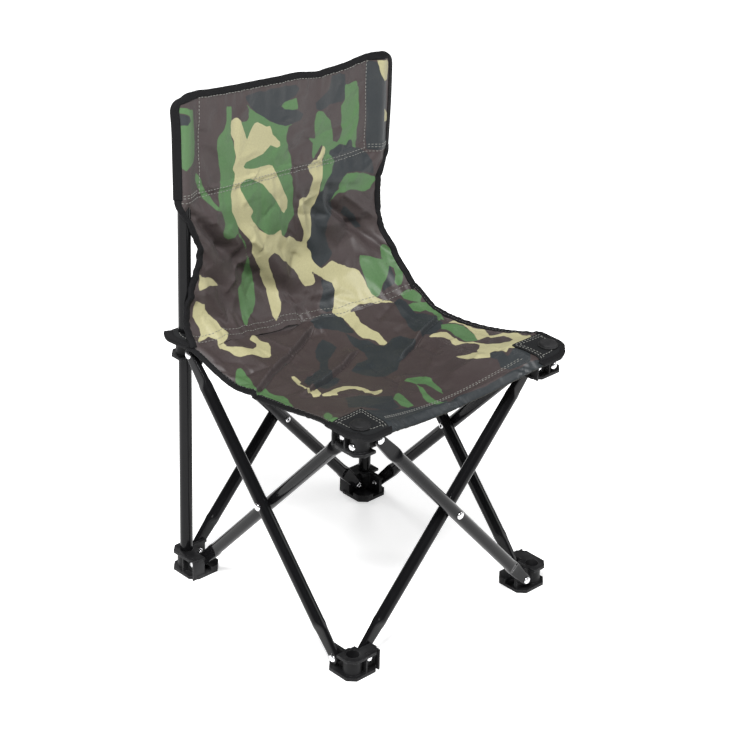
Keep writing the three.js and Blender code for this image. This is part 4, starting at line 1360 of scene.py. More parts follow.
@dataclass
class SeatForm:
    """The seat's top surface over shares s and t from -1 to 1, from the sitter's right and from the front."""

    steps: int = 320
    right_peak: float = 0.26
    lift: float = 0.012
    lift_at: float = 0.42
    lift_reach: float = 0.25
    tuck: float = 0.008
    tuck_at: float = 0.56
    tuck_reach: float = 0.11
    left_pull: float = 0.003
    droop: float = 0.007
    pleats: tuple[tuple[tuple[float, float], tuple[float, float], float], ...] = (
        ((-0.160, 0.024), (0.012, 0.108), 0.0070),
        ((-0.112, -0.014), (0.022, 0.040), 0.0062),
        ((0.042, -0.016), (0.140, 0.016), 0.0060),
    )
    pleat_width: float = 0.005
    crumples: Crumples = Crumples((-0.15, -0.15, 0.14, 0.12), 80, 3, 0.0032)
    relaxer: ClothRelaxer = field(default_factory=lambda: ClothRelaxer(excess=0.012, bending=2.0))
    grid: SheetGrid | None = None

    @staticmethod
    def hang(share: Array, peak: float = 0.0, power: float = 1.2) -> Array:
        """How an edge hangs between its hubs: 1 at its lowest and 0 over the hubs."""
        flat = CLOTH.flat_from / CLOTH.half
        reach = np.where(share > peak, flat - peak, flat + peak)
        inside = np.minimum(np.abs(share - peak) / reach, 1)
        return (1 - inside**2) ** power

    def base(self, s: Array, t: Array) -> Array:
        """The smooth surface, before wrinkles.

        Args:
            s: Shares from the sitter's right.
            t: Shares from the front.

        Returns:
            Points on the surface.
        """
        hang, sizes = self.hang, CLOTH
        tuck = self.tuck * np.exp(-(((t - self.tuck_at) / self.tuck_reach) ** 2))
        pull_right = sizes.pull * hang(t, 0.0, 0.8)
        pull_left = (sizes.pull + self.left_pull) * hang(t, 0.15, 0.8) + tuck
        x = s * (sizes.half - pull_right + (pull_right - pull_left) * (s + 1) / 2)
        y = t * (sizes.half - sizes.pull * hang(s))
        down_s = hang(s) * (sizes.sag_front * (1 - t) + sizes.sag_rear * (1 + t)) / 2
        right, left = sizes.sag_right * hang(t, self.right_peak), sizes.sag_left * hang(t)
        down_t = right * (1 - s) / 2 + left * (1 + s) / 2
        edges = (sizes.sag_front + sizes.sag_rear + sizes.sag_left + sizes.sag_right) / 2
        near = np.minimum(np.abs(t - self.lift_at) / self.lift_reach, 1)
        raised = self.lift * np.maximum(s, 0) ** 3 * (1 - near**2) ** 2
        outer = np.maximum(np.abs(s), np.abs(t))
        turned = np.where(np.abs(t) >= np.abs(s), 1.0, np.where(s > 0, 0.1, 0.45))
        drooped = self.droop * turned * smooth_step(0.90, 1.0, outer) ** 2
        z = sizes.top - down_s - down_t + hang(s) * hang(t) * (edges - sizes.sag_middle) + raised - drooped
        return np.stack([x, y, z], axis=-1)

    def build(self) -> SheetGrid:
        """Settles the sheet and presses its pleats."""
        s, t = share_grid(self.steps, self.steps, -1.0)
        sheet = SheetGrid(self.base(s, t))

        def pinned(u: Array, v: Array) -> Array:
            """The corners are held, and the edges a little."""
            a, b = np.abs(2 * u - 1), np.abs(2 * v - 1)
            corner = (np.minimum(a, b) > 0.68) * 1.0
            return np.maximum(corner, (np.maximum(a, b) > 0.97) * 0.3)

        def cap(u: Array, v: Array) -> Array:
            """Loosest in the middle."""
            a, b = np.abs(2 * u - 1), np.abs(2 * v - 1)
            return 0.0006 + 0.0034 * (1 - np.minimum(a, b) ** 2)

        settled = self.relaxer.settle(sheet, pinned, cap).points
        for start, end, height in self.pleats:
            off, fade = crease(settled[..., 0], settled[..., 1], start, end, self.pleat_width)
            step = np.where(off < 0, np.exp(np.minimum(off, 0) * 0.35), np.exp(-np.maximum(off, 0) * 3.2))
            groove = np.exp(-(((off - 0.55) / 0.32) ** 2))
            settled[..., 2] += height * (step - 0.75 * groove) * fade
        inside = room_in(s) * room_in(t)
        settled[..., 2] += inside * self.crumples.at(settled[..., 0], settled[..., 1])
        self.grid = SheetGrid(settled)
        return self.grid

    @staticmethod
    def place(side: Side, c: Array, t: Array) -> tuple[Array, Array]:
        """Shares from 0 to 1 on the sheet for a place on one side's quarter.

        Args:
            side: The side.
            c: From -1 to 1 along the side.
            t: From 0 at the middle to 1 at the edge.

        Returns:
            The shares along X and Y.
        """
        ease = smooth_step(0.6, 1.0, t)
        out = t * (1 - (1 - rounded_share(c)) * ease)
        along = c * out
        s, u = {
            Side.FRONT: (along, -out), Side.LEFT: (out, along), Side.REAR: (-along, out), Side.RIGHT: (-out, -along),
        }[side]
        return (s + 1) / 2, (u + 1) / 2

    def chart(self, u: Array, v: Array) -> Array:
        """The flat place of a point on the cloth, in metres."""
        return np.stack([(2 * u - 1) * CLOTH.half, (2 * v - 1) * CLOTH.half], axis=-1)

    def chart_under(self, x: Array, y: Array) -> Array:
        """The flat place of the cloth under a place on the chair.

        Args:
            x: Places along X, in metres.
            y: Places along Y.

        Returns:
            The flat places, in metres.
        """
        s, t = x / CLOTH.half, y / CLOTH.half
        for _ in range(12):
            spot = self.base(s, t)
            s, t = s + (x - spot[..., 0]) / CLOTH.half, t + (y - spot[..., 1]) / CLOTH.half
        return np.stack([s, t], axis=-1) * CLOTH.half


@dataclass
class BackForm:
    """The back's front surface: c from -1 at the sitter's right to 1, w from 0 at the top to 1 at the seat."""

    across: int = 260
    down: int = 280
    seam_share: float = 0.43
    post_top: float = 0.602
    lower_length: float = 0.19
    arch: float = 0.010
    flat_half: float = 0.0015
    hem_step: float = 0.0008
    hem_start: tuple[float, float] = (0.401, 0.404)
    hem_end: tuple[float, float] = (0.4295, 0.4325)
    seat_gap: float = 0.0012
    sleeve_skin: float = 0.0019
    right_corner: float = 0.016
    left_corner: float = 0.020
    lower_crumples: Crumples = Crumples((-0.15, 0.01, 0.14, 0.17), 70, 7, 0.0036)
    upper_crumples: Crumples = Crumples((-0.13, 0.50, 0.13, 0.62), 54, 19, 0.0016)
    top_gathers: Gathers = Gathers(0.0009, 0.05, 0.022, 0.6)
    hem_gathers: Gathers = Gathers(0.0008, 0.03, 0.026, 1.9)
    seam_gathers: Gathers = Gathers(0.0016, 0.10, 0.034, 2.7)
    seat_gathers: Gathers = Gathers(0.0013, 0.12, 0.030, 0.9)
    relaxer: ClothRelaxer = field(default_factory=lambda: ClothRelaxer(excess=0.016, bending=4.0))
    grid: SheetGrid | None = None
    cut_sheet: SheetGrid | None = None

    top_edge: Table = (
        (-0.1565, 0.6285), (-0.1490, 0.6316), (-0.1402, 0.6321), (-0.1144, 0.6291), (-0.0770, 0.6254),
        (-0.0388, 0.6225), (-0.0077, 0.6199), (0.0238, 0.6178), (0.0398, 0.6144), (0.0540, 0.6118), (0.0639, 0.6121),
        (0.0965, 0.6125), (0.1294, 0.6157), (0.1460, 0.6155), (0.1555, 0.6140),
    )
    seam_edge: Table = (
        (-1.0, 0.5060), (-0.8, 0.5045), (-0.48, 0.5005), (-0.1, 0.4985), (0.54, 0.4925), (0.8, 0.4925), (1.0, 0.4890),
    )
    right_outer: Table = ((0.0, 0.1725), (0.25, 0.1695), (0.55, 0.1685), (1.0, 0.1675))
    left_outer: Table = ((0.0, 0.1750), (0.5, 0.1755), (1.0, 0.1735))
    seat_seam: Table = (
        (-1.0, 0.1175), (-0.94, 0.1120), (-0.86, 0.1095), (-0.55, 0.1115), (-0.27, 0.1180), (0.03, 0.1180),
        (0.27, 0.1080), (0.53, 0.0905), (0.79, 0.0700), (1.0, 0.0630),
    )
    right_edge: Table = (
        (0.0, -0.1675, 0.1500), (0.05, -0.1640, 0.1435), (0.14, -0.1575, 0.1416), (0.27, -0.1490, 0.1416),
        (0.396, -0.1405, 0.1416), (0.45, -0.1402, 0.1416), (0.567, -0.1480, 0.1416), (0.677, -0.1550, 0.1416),
        (0.80, -0.1620, 0.1400), (0.90, -0.1680, 0.1340), (1.0, -0.1720, 0.1175),
    )
    left_edge: Table = (
        (0.0, 0.1735, 0.1505), (0.05, 0.1640, 0.1440), (0.14, 0.1570, 0.1416), (0.244, 0.1530, 0.1416),
        (0.445, 0.1530, 0.1416), (0.54, 0.1530, 0.1410), (0.628, 0.1525, 0.1305), (0.713, 0.1520, 0.1130),
        (0.811, 0.1520, 0.0975), (0.893, 0.1520, 0.0820), (1.0, 0.1510, 0.0630),
    )
    folds: tuple[tuple[tuple[float, float], tuple[float, float], float, float], ...] = (
        ((-0.72, 0.38), (0.00, 0.88), 0.075, -0.0135),
        ((-0.46, 0.32), (0.16, 0.80), 0.070, 0.0075),
        ((-0.96, 0.06), (-0.68, 0.46), 0.050, -0.0095),
        ((-0.78, 0.16), (-0.52, 0.50), 0.055, 0.0050),
        ((-0.92, 0.62), (-0.50, 0.97), 0.060, 0.0050),
        ((0.46, 0.28), (0.98, 0.78), 0.040, -0.0095),
        ((0.58, 0.22), (1.00, 0.58), 0.050, 0.0060),
        ((0.40, 0.15), (0.06, 0.84), 0.110, -0.0065),
        ((0.26, 0.08), (0.80, 0.20), 0.035, 0.0030),
    )

    def sleeve_rise(self, x: Array, outer: Array) -> Array:
        """Half the thickness of a sleeve drawn tight round its post, at a distance from the middle of the back.

        Args:
            x: Distances from the middle of the back.
            outer: The sleeve's outer edge there.

        Returns:
            Half the thickness.
        """
        radius = SIZES.tube_radius + self.sleeve_skin
        flat = self.flat_half
        off = np.abs(x) - SIZES.post_place
        reach = np.where(off > 0, outer - SIZES.post_place, SIZES.post_place - CLOTH.sleeve_inner)
        touch = radius * radius / reach
        high = np.sqrt(radius**2 - touch**2)
        away = np.abs(off)
        taut = flat + (high - flat) * np.clip((reach - away) / (reach - touch), 0, 1) ** 1.15
        return np.where(away < touch, np.sqrt(np.maximum(radius**2 - off**2, 0)), taut)

    def seam_y(self, c: Array) -> Array:
        """Where the seam with the seat runs."""
        return smooth_table(self.seat_seam, c)

    def upper(self, c: Array, w: Array) -> tuple[Array, Array, Array]:
        """The doubled top.

        Args:
            c: Shares across.
            w: Shares down.

        Returns:
            Places along X and Z, and half the thickness there.
        """
        down = np.clip(w / self.seam_share, 0, 1)
        inner, half = CLOTH.sleeve_inner, CLOTH.back_half
        outwards = np.clip((np.abs(c) * half - inner) / (half - inner), 0, 1)
        outer = np.where(c > 0, smooth_table(self.left_outer, down), smooth_table(self.right_outer, down))
        radius = np.where(c > 0, self.left_corner, self.right_corner)
        top_outer = np.where(c > 0, self.left_outer[0][1], self.right_outer[0][1]) - radius
        start = np.where(outwards > 0, np.sign(c) * (inner + (top_outer - inner) * outwards), c * half)
        top = smooth_table(self.top_edge, start)
        corner_top = smooth_table(self.top_edge, np.sign(c) * top_outer)
        z = top + (smooth_table(self.seam_edge, c) - top) * down
        depth = np.maximum(corner_top - z, 0)
        cut = np.maximum(radius - depth, 0)
        rounded = outer - radius + np.sqrt(np.maximum(radius**2 - cut**2, 0))
        x = np.where(outwards > 0, np.sign(c) * (inner + (rounded - inner) * outwards), c * half)
        rise = self.sleeve_rise(x, outer)
        flat = self.flat_half
        closing = np.clip((top - z) / np.maximum(corner_top - self.post_top - flat, 0.004), 0, 1)
        rise = flat + (rise - flat) * (1 - (1 - closing) ** 1.6)
        return x, z, np.where(outwards > 0, rise, flat)

    def base(self, c: Array, w: Array, seat: SheetGrid) -> Array:
        """The surface before wrinkles.

        Args:
            c: Shares across.
            w: Shares down.
            seat: The settled seat, on which its foot stands.

        Returns:
            Points on the surface.
        """
        share = np.clip((w - self.seam_share) / (1 - self.seam_share), 0, 1)
        right_x, left_x = (smooth_table(edge, share, 1) for edge in (self.right_edge, self.left_edge))
        right_y, left_y = (smooth_table(edge, share, 2) for edge in (self.right_edge, self.left_edge))
        side = (c + 1) / 2
        x_low = right_x + (left_x - right_x) * side
        x_high, z_high, rise = self.upper(c, w)
        ease = smooth_step(0.0, 0.16, share)
        x = x_high + (x_low - x_high) * ease
        edge_y = right_y + (left_y - right_y) * side
        low_y = self.seam_y(c)
        front = CLOTH.back_front
        sweep_left, sweep_right = ((front - y) / (front - y[..., -1:]) for y in (left_y, right_y))
        sweep = sweep_left * side + sweep_right * (1 - side)
        middle = front + (low_y - front) * np.clip(sweep, 0, 1)
        arch = (1 - c**2) * self.arch * np.sin(math.pi * share) ** 0.7
        low = edge_y * np.abs(c) ** 3 + middle * (1 - np.abs(c) ** 3) + arch
        hem = self.hem_step * smooth_step(*self.hem_start, w) * (1 - smooth_step(*self.hem_end, w))
        high = SIZES.post_place - rise - hem
        y = high + (low - high) * ease
        u, v = (x / CLOTH.half + 1) / 2, (low_y / CLOTH.half + 1) / 2
        foot = seat.at(u, v)[..., 2] + self.seat_gap
        z = np.where(w < self.seam_share, z_high, z_high + (foot - z_high) * share)
        for start, finish, width, depth in self.folds:
            off, fade = crease(c, share, start, finish, width)
            y = y - depth * np.exp(-(off**2)) * fade * np.sin(math.pi * share) ** 0.5
        spread = np.sin(math.pi * share) ** 0.5
        y = y - spread * self.lower_crumples.at(x, self.lower_length * share)
        top = np.where(w < self.seam_share, np.sin(math.pi * np.clip(w / self.seam_share, 0, 1)), 0)
        between = 1 - smooth_step(0.72, 0.80, np.abs(c))
        y = y - top * between * self.upper_crumples.at(x, z)
        y = y + self.top_gathers.at(x, w, smooth_step(0.0, 0.02, w), between)
        y = y + self.hem_gathers.at(x, np.abs(w - 0.40), w < self.hem_start[0], between)
        y = y + self.seam_gathers.at(x, share, smooth_step(0.0, 0.03, share), w > self.seam_share)
        y = y + self.seat_gathers.at(x, 1 - share, smooth_step(0.0, 0.03, 1 - share))
        return np.stack([x, y, z], axis=-1)

    def build(self, seat: SheetGrid) -> SheetGrid:
        """Settles the sheet.

        Args:
            seat: The settled seat.

        Returns:
            The settled back.
        """
        c, w = np.meshgrid(np.linspace(-1, 1, self.across + 1), np.linspace(0, 1, self.down + 1), indexing="ij")
        sheet = self.cut_sheet = SheetGrid(self.base(c, w, seat))
        seam = self.seam_share

        def pinned(u: Array, v: Array) -> Array:
            """The sleeves, the ends and the cross seam are held, and the free edges a little."""
            wide = np.abs(2 * u - 1) > CLOTH.sleeve_inner / CLOTH.back_half
            held = np.where((v < seam + 0.02) & wide, 1.0, 0.0)
            held = np.maximum(held, ((v < 0.012) | (v > 0.985)) * 1.0)
            held = np.maximum(held, (np.abs(v - seam) < 0.008) * 0.8)
            return np.maximum(held, (np.abs(2 * u - 1) > 0.97) * 0.4)

        def cap(u: Array, v: Array) -> Array:
            """The doubled top hardly moves, and the single cloth below it does."""
            return 0.0010 + 0.0040 * smooth_step(seam, seam + 0.15, v)

        self.grid = self.relaxer.settle(sheet, pinned, cap)
        return self.grid

    def chart(self, u: Array, w: Array) -> Array:
        """The flat place of a point on the cloth, in metres, following on from the seat's.

        Args:
            u: Shares across, from 0 to 1.
            w: Shares down.

        Returns:
            The flat places, in metres.
        """
        points = self.cut_sheet.points
        steps = np.linalg.norm(np.diff(points, axis=1), axis=-1)
        length = np.concatenate([np.cumsum(steps[:, ::-1], axis=1)[:, ::-1], np.zeros((len(points), 1))], axis=1)
        middle = length.mean(axis=0, keepdims=True) * np.ones_like(length)
        up = SheetGrid.sample_of(middle[..., None], u, w)[..., 0]
        c = 2 * u - 1
        right, left = self.right_edge[-1][1], self.left_edge[-1][1]
        seam = SeatForm().chart_under(right + (left - right) * u, self.seam_y(c))
        return np.stack([c * CLOTH.back_half * (1 - w) + seam[..., 0] * w, seam[..., 1] + up], axis=-1)


def smooth_table(table: Table, at: Array, column: int = 1) -> Array:
    """Reads a column of a table smoothly: cubic steps with slopes from the neighbours.

    Args:
        table: Rows that start with their key.
        at: The keys to read at.
        column: The column to read.

    Returns:
        The values there.
    """
    keys, values = np.array(table)[:, 0], np.array(table)[:, column]
    slopes = np.gradient(values, keys)
    at = np.clip(at, keys[0], keys[-1])
    low = np.clip(np.searchsorted(keys, at, side="right") - 1, 0, len(keys) - 2)
    span = keys[low + 1] - keys[low]
    t = (at - keys[low]) / span
    h00, h10 = 2 * t**3 - 3 * t**2 + 1, t**3 - 2 * t**2 + t
    h01, h11 = -2 * t**3 + 3 * t**2, t**3 - t**2
    return h00 * values[low] + h10 * span * slopes[low] + h01 * values[low + 1] + h11 * span * slopes[low + 1]


@dataclass
class PrintLayout:
    """Where the print's blotches lie, with a band of painted shade along the seat's front hem: outlines x, y, x, y
    and so on, in millimetres in the cloth's flat chart.
    """

    khaki: Table
    green: Table
    dark: Table
    far: float = 0.03

    def depth(self, outlines: Table, chart: Array) -> Array:
        """How deep each place lies inside the nearest outline, in metres, and how far outside as a negative.

        Args:
            outlines: The outlines of one colour's blotches.
            chart: Flat places on the cloth, in metres.

        Returns:
            The depth at each place.
        """
        spots = chart.reshape(-1, 2)
        best = np.full(len(spots), -self.far)
        for outline in outlines:
            points = np.reshape(outline, (-1, 2)) * MM
            near = np.all((spots > points.min(axis=0) - self.far) & (spots < points.max(axis=0) + self.far), axis=1)
            some = spots[near]
            gap, inside = np.full(len(some), self.far), np.zeros(len(some), dtype=bool)
            for start, end in zip(points, np.roll(points, -1, axis=0)):
                along = end - start
                share = np.clip((some - start) @ along / max(along @ along, 1e-12), 0, 1)
                gap = np.minimum(gap, np.linalg.norm(some - start - share[:, None] * along, axis=-1))
                level = (start[1] > some[:, 1]) != (end[1] > some[:, 1])
                crossing = start[0] + (some[:, 1] - start[1]) * along[0] / (along[1] or 1e-9)
                inside ^= level & (some[:, 0] < crossing)
            best[near] = np.maximum(best[near], np.where(inside, gap, -gap))
        return best

    def layers(self, chart: Array) -> dict[str, Array]:
        """The three colours' depths at each place."""
        return {name: self.depth(getattr(self, name), chart) for name in ("khaki", "green", "dark")}


LAYOUT = PrintLayout(
    khaki=(
        (-84, 410, -74, 415, -69, 412, -60, 389, -53, 404, -47, 411, -43, 413, -30, 407, -25, 408, -21, 398,
         -11, 386, -10, 381, -14, 379, -24, 383, -35, 373, -62, 361, -66, 355, -63, 353, -54, 353, -26, 358,
         -21, 356, 2, 303, 0, 293, -6, 289, -12, 295, -18, 307, -38, 334, -56, 341, -62, 340, -68, 336, -72, 332,
         -70, 318, -68, 310, -60, 297, -65, 289, -62, 281, -54, 271, -43, 264, -31, 262, -18, 268, -17, 261,
         -8, 254, 1, 253, 27, 230, 27, 240, 17, 275, 18, 285, 22, 295, 26, 295, 35, 289, 40, 293, 42, 312, 32, 334,
         38, 335, 41, 338, 47, 334, 54, 337, 60, 345, 64, 336, 62, 331, 56, 327, 59, 315, 57, 297, 58, 282, 54, 269,
         47, 264, 39, 234, 34, 229, 36, 220, 41, 209, 42, 199, 48, 188, 55, 180, 74, 173, 108, 131, 108, 101,
         111, 93, 127, 70, 118, 75, 98, 96, 86, 105, 69, 110, 75, 100, 74, 90, 69, 80, 74, 48, 69, 27, 62, 26,
         59, 33, 61, 43, 58, 51, 51, 58, 51, 67, 56, 83, 58, 106, 48, 124, 55, 129, 65, 143, 65, 153, 37, 188,
         41, 171, 38, 169, 33, 170, 27, 174, 21, 183, 14, 202, 4, 215, -20, 235, -29, 240, -37, 238, -41, 234,
         -18, 196, -13, 181, -15, 167, -20, 155, -32, 146, -33, 154, -27, 186, -44, 218, -68, 239, -77, 255,
         -83, 260, -96, 291, -83, 330, -79, 337, -78, 345, -82, 350, -77, 367, -80, 377, -80, 386, -85, 394),
        (-162, 174, -148, 165, -146, 157, -141, 149, -128, 136, -127, 126, -120, 119, -126, 112, -133, 109,
         -132, 106, -139, 104, -144, 105, -140, 115, -148, 122, -165, 119, -156, 127, -155, 135, -162, 153),
        (-165, 214, -159, 206, -136, 196, -122, 186, -136, 187, -149, 191, -157, 191, -161, 188, -164, 198),
        (-142, 109, -113, 95, -105, 94, -97, 97, -92, 103, -94, 111, -78, 121, -80, 110, -71, 105, -90, 81, -97, 78,
         -106, 78, -116, 85, -131, 88, -136, 92, -137, 99, -141, 103),
        (-97, 39, -92, 38, -98, 19, -105, 15, -111, -9, -98, -7, -108, -26, -126, -35, -119, -21, -118, -12,
         -111, 3, -111, 12),
        (-109, -29, -92, -27, -75, -22, -64, -22, -55, -27, -48, -36, -46, -48, -49, -60, -43, -66, -34, -69,
         -38, -74, -53, -82, -60, -81, -62, -71, -55, -51, -58, -40, -65, -35, -80, -34, -91, -38, -92, -42,
         -100, -37, -114, -38),
        (108, -11, 129, -13, 135, -18, 133, -26, 120, -49, 120, -61, 110, -53, 111, -47, 117, -38, 120, -26,
         115, -18, 108, -15),
        (158, -3, 164, -4, 171, -9, 173, -15, 164, -36, 167, -52, 152, -70, 133, -68, 150, -48, 159, -34, 165, -20,
         163, -10),
        (152, -68, 166, -79, 167, -88, 159, -84, 148, -74),
        (121, -60, 128, -65, 126, -87, 130, -95, 137, -101, 138, -109, 147, -105, 155, -95, 159, -84, 167, -88,
         170, -94, 164, -106, 164, -113, 157, -122, 156, -132, 148, -130, 139, -131, 132, -126, 131, -121,
         125, -123, 122, -128, 118, -123, 110, -127, 110, -111, 102, -111, 93, -120, 82, -110, 83, -86, 87, -76,
         92, -92, 100, -97, 103, -91, 111, -88, 121, -79, 125, -70, 121, -66),
        (145, 392, 160, 387, 162, 383, 160, 361, 154, 362, 149, 371, 146, 379),
        (156, 325, 163, 317, 164, 307, 157, 308),
    ),
    green=(
        (-164, 435, -145, 424, -142, 384, -143, 370, -147, 362, -160, 357, -165, 363, -164, 414, -156, 410,
         -151, 414, -153, 420, -163, 429),
        (-91, 425, -84, 427, -83, 410, -85, 394, -78, 372, -78, 338, -91, 299, -88, 272, -91, 260, -103, 252,
         -114, 248, -121, 254, -122, 261, -111, 272, -115, 296, -109, 306, -102, 329, -101, 341, -107, 372,
         -107, 383, -95, 399, -92, 409),
        (-140, 346, -134, 338, -128, 324, -119, 312, -116, 301, -116, 291, -121, 294, -133, 317, -143, 341),
        (-74, 410, -59, 413, -55, 418, -57, 428, -62, 434, -43, 423, -2, 404, 13, 403, 3, 401, -1, 393, -1, 384,
         8, 360, 8, 350, 5, 339, 8, 331, 10, 315, 12, 279, 0, 272, -5, 261, -13, 258, -44, 264, -62, 281, -74, 309,
         -72, 324),
        (-8, 431, 0, 435, 17, 434, 18, 419, -2, 426),
        (37, 370, 47, 363, 45, 374, 46, 387, 50, 396, 53, 397, 60, 392, 73, 368, 77, 351, 78, 335, 84, 328, 90, 330,
         93, 340, 90, 374, 96, 377, 96, 397, 116, 382, 120, 369, 120, 330, 116, 318, 116, 292, 111, 298, 108, 312,
         104, 316, 99, 312, 89, 322, 71, 328, 70, 323, 80, 305, 75, 303, 75, 296, 68, 292, 65, 281, 60, 281,
         57, 297, 56, 324, 62, 333, 57, 348, 50, 342, 41, 338, 43, 359),
        (95, 256, 94, 265, 99, 269, 106, 268, 117, 259, 154, 236, 162, 233, 163, 227, 157, 223, 154, 217, 145, 216,
         134, 222, 94, 252, 88, 251, 83, 246, 84, 251, 89, 256),
        (119, 141, 147, 121, 150, 110, 138, 101, 129, 99, 115, 91, 110, 92, 107, 98, 110, 124),
        (152, 130, 160, 136, 163, 132, 168, 118, 168, 105, 160, 91, 153, 85, 146, 85, 145, 92, 152, 98, 156, 106,
         152, 111, 147, 125),
        (-90, 263, -87, 254, -82, 250, -75, 236, -49, 209, -44, 194, -60, 160, -81, 136, -84, 137, -80, 152,
         -83, 187, -69, 197, -63, 211, -78, 239, -92, 255),
        (-154, 73, -148, 76, -143, 76, -145, 67, -150, 55, -165, 30, -172, 28, -174, 25, -174, 47, -170, 57,
         -165, 65),
        (-160, 31, -147, 35, -153, 21, -152, 12, -145, 5, -150, -9, -167, -38, -170, -14, -169, 3, -174, 12,
         -174, 23, -170, 27),
        (-162, -91, -146, -81, -160, -112, -157, -121, -160, -128, -167, -125, -168, -117, -168, -105),
        (-55, -113, -37, -98, -29, -95, -43, -141, -54, -141, -58, -132, -54, -121),
        (3, -72, 12, -72, 20, -75, 26, -81, 30, -92, 16, -127, 8, -139, 12, -102, 3, -97),
        (2, -96, -4, -122, -10, -136, -10, -144, -5, -162, -14, -159, -20, -151, -21, -142, -17, -130),
        (144, 76, 160, 74, 166, 65, 168, 54, 160, 50, 149, 57, 143, 65),
        (141, 55, 150, 54, 168, 44, 172, 36, 172, 26, 158, 4, 157, 10, 153, 12, 159, 26, 156, 36, 146, 37, 139, 43),
        (146, 0, 154, -4, 161, -12, 162, -24, 156, -38, 145, -54, 133, -67, 123, -58, 125, -50, 142, -20, 141, -13,
         137, -8),
    ),
    dark=(
        # Partly print and partly painted shade: this first outline is a dark band along the seat's front hem, where
        # the hem turns down into shade.
        (-130, -178, 130, -178, 130, -166, 90, -163, 50, -166, 10, -162, -30, -165, -70, -161, -100, -165,
         -130, -163),
        (-164, 429, -153, 419, -151, 414, -156, 410, -163, 413, -166, 418),
        (-58, 446, -24, 454, 0, 455, 16, 451, 22, 444, 17, 437, -3, 433, -8, 430, 19, 417, 27, 408, 22, 403,
         -2, 404, -16, 410, -43, 423, -54, 432, -61, 439, -62, 443),
        (75, 427, 88, 420, 96, 411, 97, 380, 92, 378, 72, 391, 56, 397, 50, 402, 48, 412, 62, 414, 70, 413),
        (70, 327, 78, 327, 89, 322, 99, 312, 104, 315, 108, 311, 111, 298, 132, 277, 160, 237, 140, 246, 104, 269,
         95, 268, 92, 256, 84, 249, 94, 227, 76, 234, 67, 231, 65, 217, 78, 180, 69, 178, 53, 182, 45, 192, 34, 229,
         39, 235, 47, 264, 54, 270, 66, 293, 75, 296, 76, 308, 70, 320),
        (105, 223, 139, 165, 133, 165, 106, 208),
        (150, 112, 153, 109, 149, 94, 143, 91, 123, 92, 124, 96, 141, 102),
        (50, 169, 60, 160, 65, 152, 64, 142, 50, 125, 41, 129, 36, 138, 50, 155),
        (131, 396, 145, 389, 157, 359, 165, 270, 134, 278),
        (-5, 90, 8, 95, 12, 85, 13, 71, -20, 53, -42, 28, -47, 14, -46, 1, -67, -12, -89, -18, -94, -5, -105, -2,
         -99, 14, -77, 31, -64, 32, -50, 36, -32, 55, -27, 69, -16, 82),
        (16, 133, 35, 130, 48, 123, 56, 110, 55, 86, 50, 75, 45, 80, 37, 95, 12, 115),
        (42, 86, 46, 58, 54, 50, 58, 24, 78, 26, 90, 22, 91, -5, 41, -23, 25, -36, 9, -36, -7, -29, -15, -9,
         -16, 10, 5, 20, 24, 19, 31, 35, 32, 57),
        (126, 69, 138, 68, 141, 61, 139, 38, 149, 32, 150, 19, 154, 11, 153, 2, 137, -7, 114, -13, 102, 6, 108, 24,
         118, 40),
        (-100, -63, -80, -72, -61, -89, -43, -98, -59, -121, -63, -135, -84, -136, -121, -118, -127, -99),
        (-142, -125, -114, -128, -52, -142, -25, -153, 1, -154, -9, -166, -125, -164, -157, -157, -162, -138),
        (99, -111, 106, -112, 109, -120, 107, -133, 126, -126, 133, -130, 131, -145, 112, -164, 90, -159, 87, -145,
         95, -130, 93, -121),
        (127, -124, 136, -129, 148, -129, 157, -132, 156, -143, 136, -156, 127, -149),
    ),
)


def closed_sheet(
    name: str,
    top: Array,
    normals: Array,
    thickness: float,
    chart: Array,
    finishes: tuple[Finish, Finish],
    printed: bool = True,
) -> bpy.types.Object:
    """Makes a closed piece of cloth from a grid of its upper side.

    Args:
        name: The piece's name.
        top: The upper side, n by m by 3, counter-clockwise from outside.
        normals: The normals there.
        thickness: The cloth's thickness.
        chart: The flat place of each point.
        finishes: The finishes of the upper and the lower side.
        printed: Whether the print's layers are stored.

    Returns:
        The piece.
    """
    n, m = top.shape[:2]
    bottom = top - thickness * normals
    points = np.concatenate([top.reshape(-1, 3), bottom.reshape(-1, 3)])
    offset = n * m
    faces, kinds = [], []
    for i in range(n - 1):
        for j in range(m - 1):
            a, b, c, d = i * m + j, (i + 1) * m + j, (i + 1) * m + j + 1, i * m + j + 1
            faces.append((a, b, c, d))
            faces.append((d + offset, c + offset, b + offset, a + offset))
            kinds.extend((0, 1))
    rim = [i * m for i in range(n)] + [(n - 1) * m + j for j in range(1, m)]
    rim += [i * m + m - 1 for i in range(n - 2, -1, -1)] + [j for j in range(m - 2, 0, -1)]
    for a, b in zip(rim, rim[1:] + rim[:1]):
        faces.append((b, a, a + offset, b + offset))
        kinds.append(1)
    uv = np.tile(chart.reshape(-1, 2), (2, 1))
    flat = normals.reshape(-1, 3)
    layers = {k: np.tile(v, 2) for k, v in LAYOUT.layers(chart).items()} if printed else None
    return mesh_object(
        name, points, faces, finishes, uv=uv, face_finish=kinds, layers=layers, normals=np.concatenate([flat, -flat])
    )


